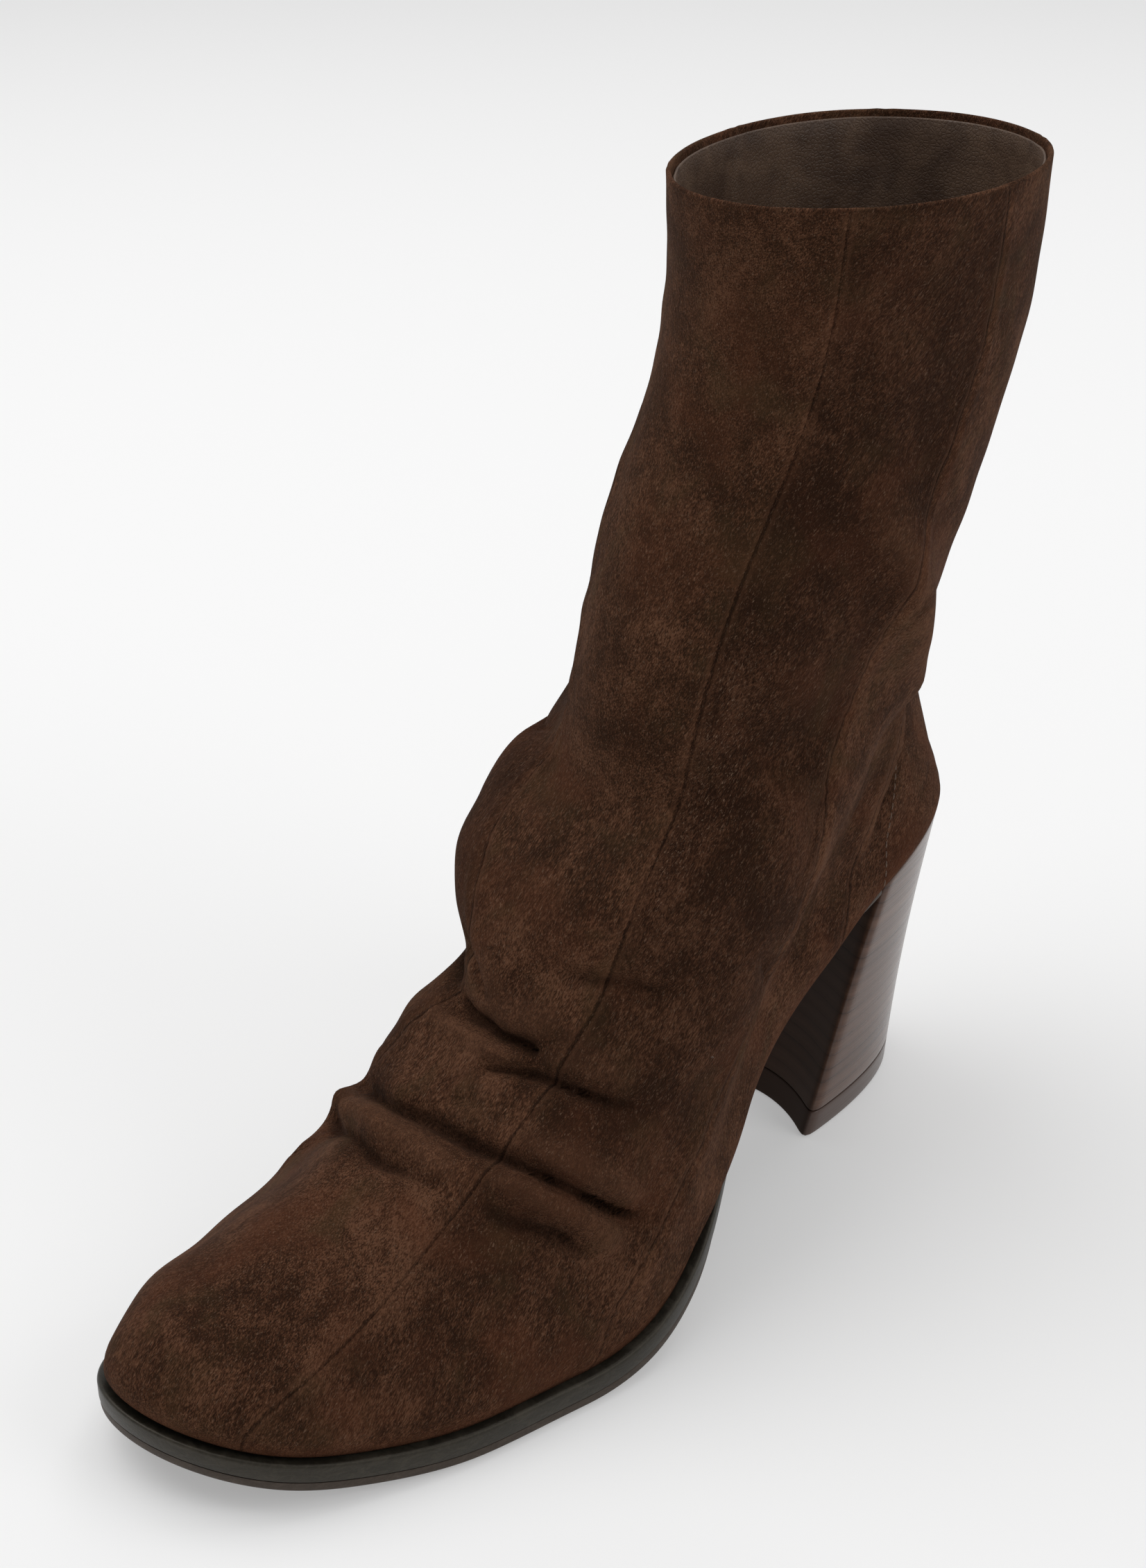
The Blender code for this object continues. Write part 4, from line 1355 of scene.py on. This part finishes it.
# lengths in metres, and a share of the length
STITCH = {"Pitch": 0.0023, "Length": 0.0017, "Thickness": 0.0005, "Unevenness": 0.12, "Seed": 3}


def thread_look():
    look = Look("light brown thread", Sheen_Weight=0.2)
    twist = look.noise(0.35, 2, 0.5)
    colour = look.paint(THREAD_DEEP, (twist.rise(0.35, 0.65), THREAD_PALE))
    return look.finish(colour, twist * 0.2 + 0.6, twist * 0.05)


def stitch_tree(thread):
    """Geometry Nodes that lay stitches along a line, flat on the surface that it carries."""
    tree = bpy.data.node_groups.new("stitches", "GeometryNodeTree")
    sockets = tree.interface
    sockets.new_socket("Geometry", in_out="INPUT", socket_type="NodeSocketGeometry")
    for name, value in STITCH.items():
        kind = "NodeSocketInt" if name == "Seed" else "NodeSocketFloat"
        sockets.new_socket(name, in_out="INPUT", socket_type=kind).default_value = value
    sockets.new_socket("Geometry", in_out="OUTPUT", socket_type="NodeSocketGeometry")

    def add(kind, settings=None, values=None, output=0):
        return add_node(tree, kind, settings, values).outputs[output]

    given = add_node(tree, "NodeGroupInput").outputs
    curve = add("GeometryNodeMeshToCurve", {}, {"Mesh": given["Geometry"]})
    even = add("GeometryNodeResampleCurve", {"mode": "LENGTH"},
               {"Curve": curve, "Length": given["Pitch"]})
    lift = add("GeometryNodeInputNamedAttribute", {"data_type": "FLOAT_VECTOR"}, {"Name": "lift"})
    turned = add("FunctionNodeAxesToRotation", {"primary_axis": "X", "secondary_axis": "Z"},
                 {0: add("GeometryNodeInputTangent"), 1: lift})
    least = add("ShaderNodeMath", {"operation": "SUBTRACT"}, {0: 1.0, 1: given["Unevenness"]})
    uneven = add("FunctionNodeRandomValue", {"data_type": "FLOAT"},
                 {2: least, 3: 1.0, "Seed": given["Seed"]}, output=1)
    long = add("ShaderNodeMath", {"operation": "MULTIPLY"}, {0: given["Length"], 1: uneven})
    size = add("ShaderNodeCombineXYZ", {},
               {"X": long, "Y": given["Thickness"], "Z": given["Thickness"]})
    bead = add("GeometryNodeMeshUVSphere", {}, {"Segments": 6, "Rings": 4, "Radius": 0.5})
    along_x = add("GeometryNodeTransform", {},
                  {"Geometry": bead, "Rotation": (0.0, np.pi / 2, 0.0)})
    laid = add("GeometryNodeInstanceOnPoints", {},
               {"Points": even, "Instance": along_x, "Rotation": turned, "Scale": size})
    real = add("GeometryNodeRealizeInstances", {}, {0: laid})
    coloured = add("GeometryNodeSetMaterial", {}, {"Geometry": real, "Material": thread})
    add_node(tree, "NodeGroupOutput", {}, {0: coloured})
    return tree


# %% Lay the stitches
counter.modifiers.new("stitches", "NODES").node_group = stitch_tree(thread_look())
evaluated = counter.evaluated_get(bpy.context.evaluated_depsgraph_get())
stitches = add_object("counter_stitches", bpy.data.meshes.new_from_object(evaluated))
bpy.data.objects.remove(counter, do_unlink=True)
stitches.data.shade_smooth()
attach(stitches, "root")
print("counter stitches:", triangles(stitches), "triangles")
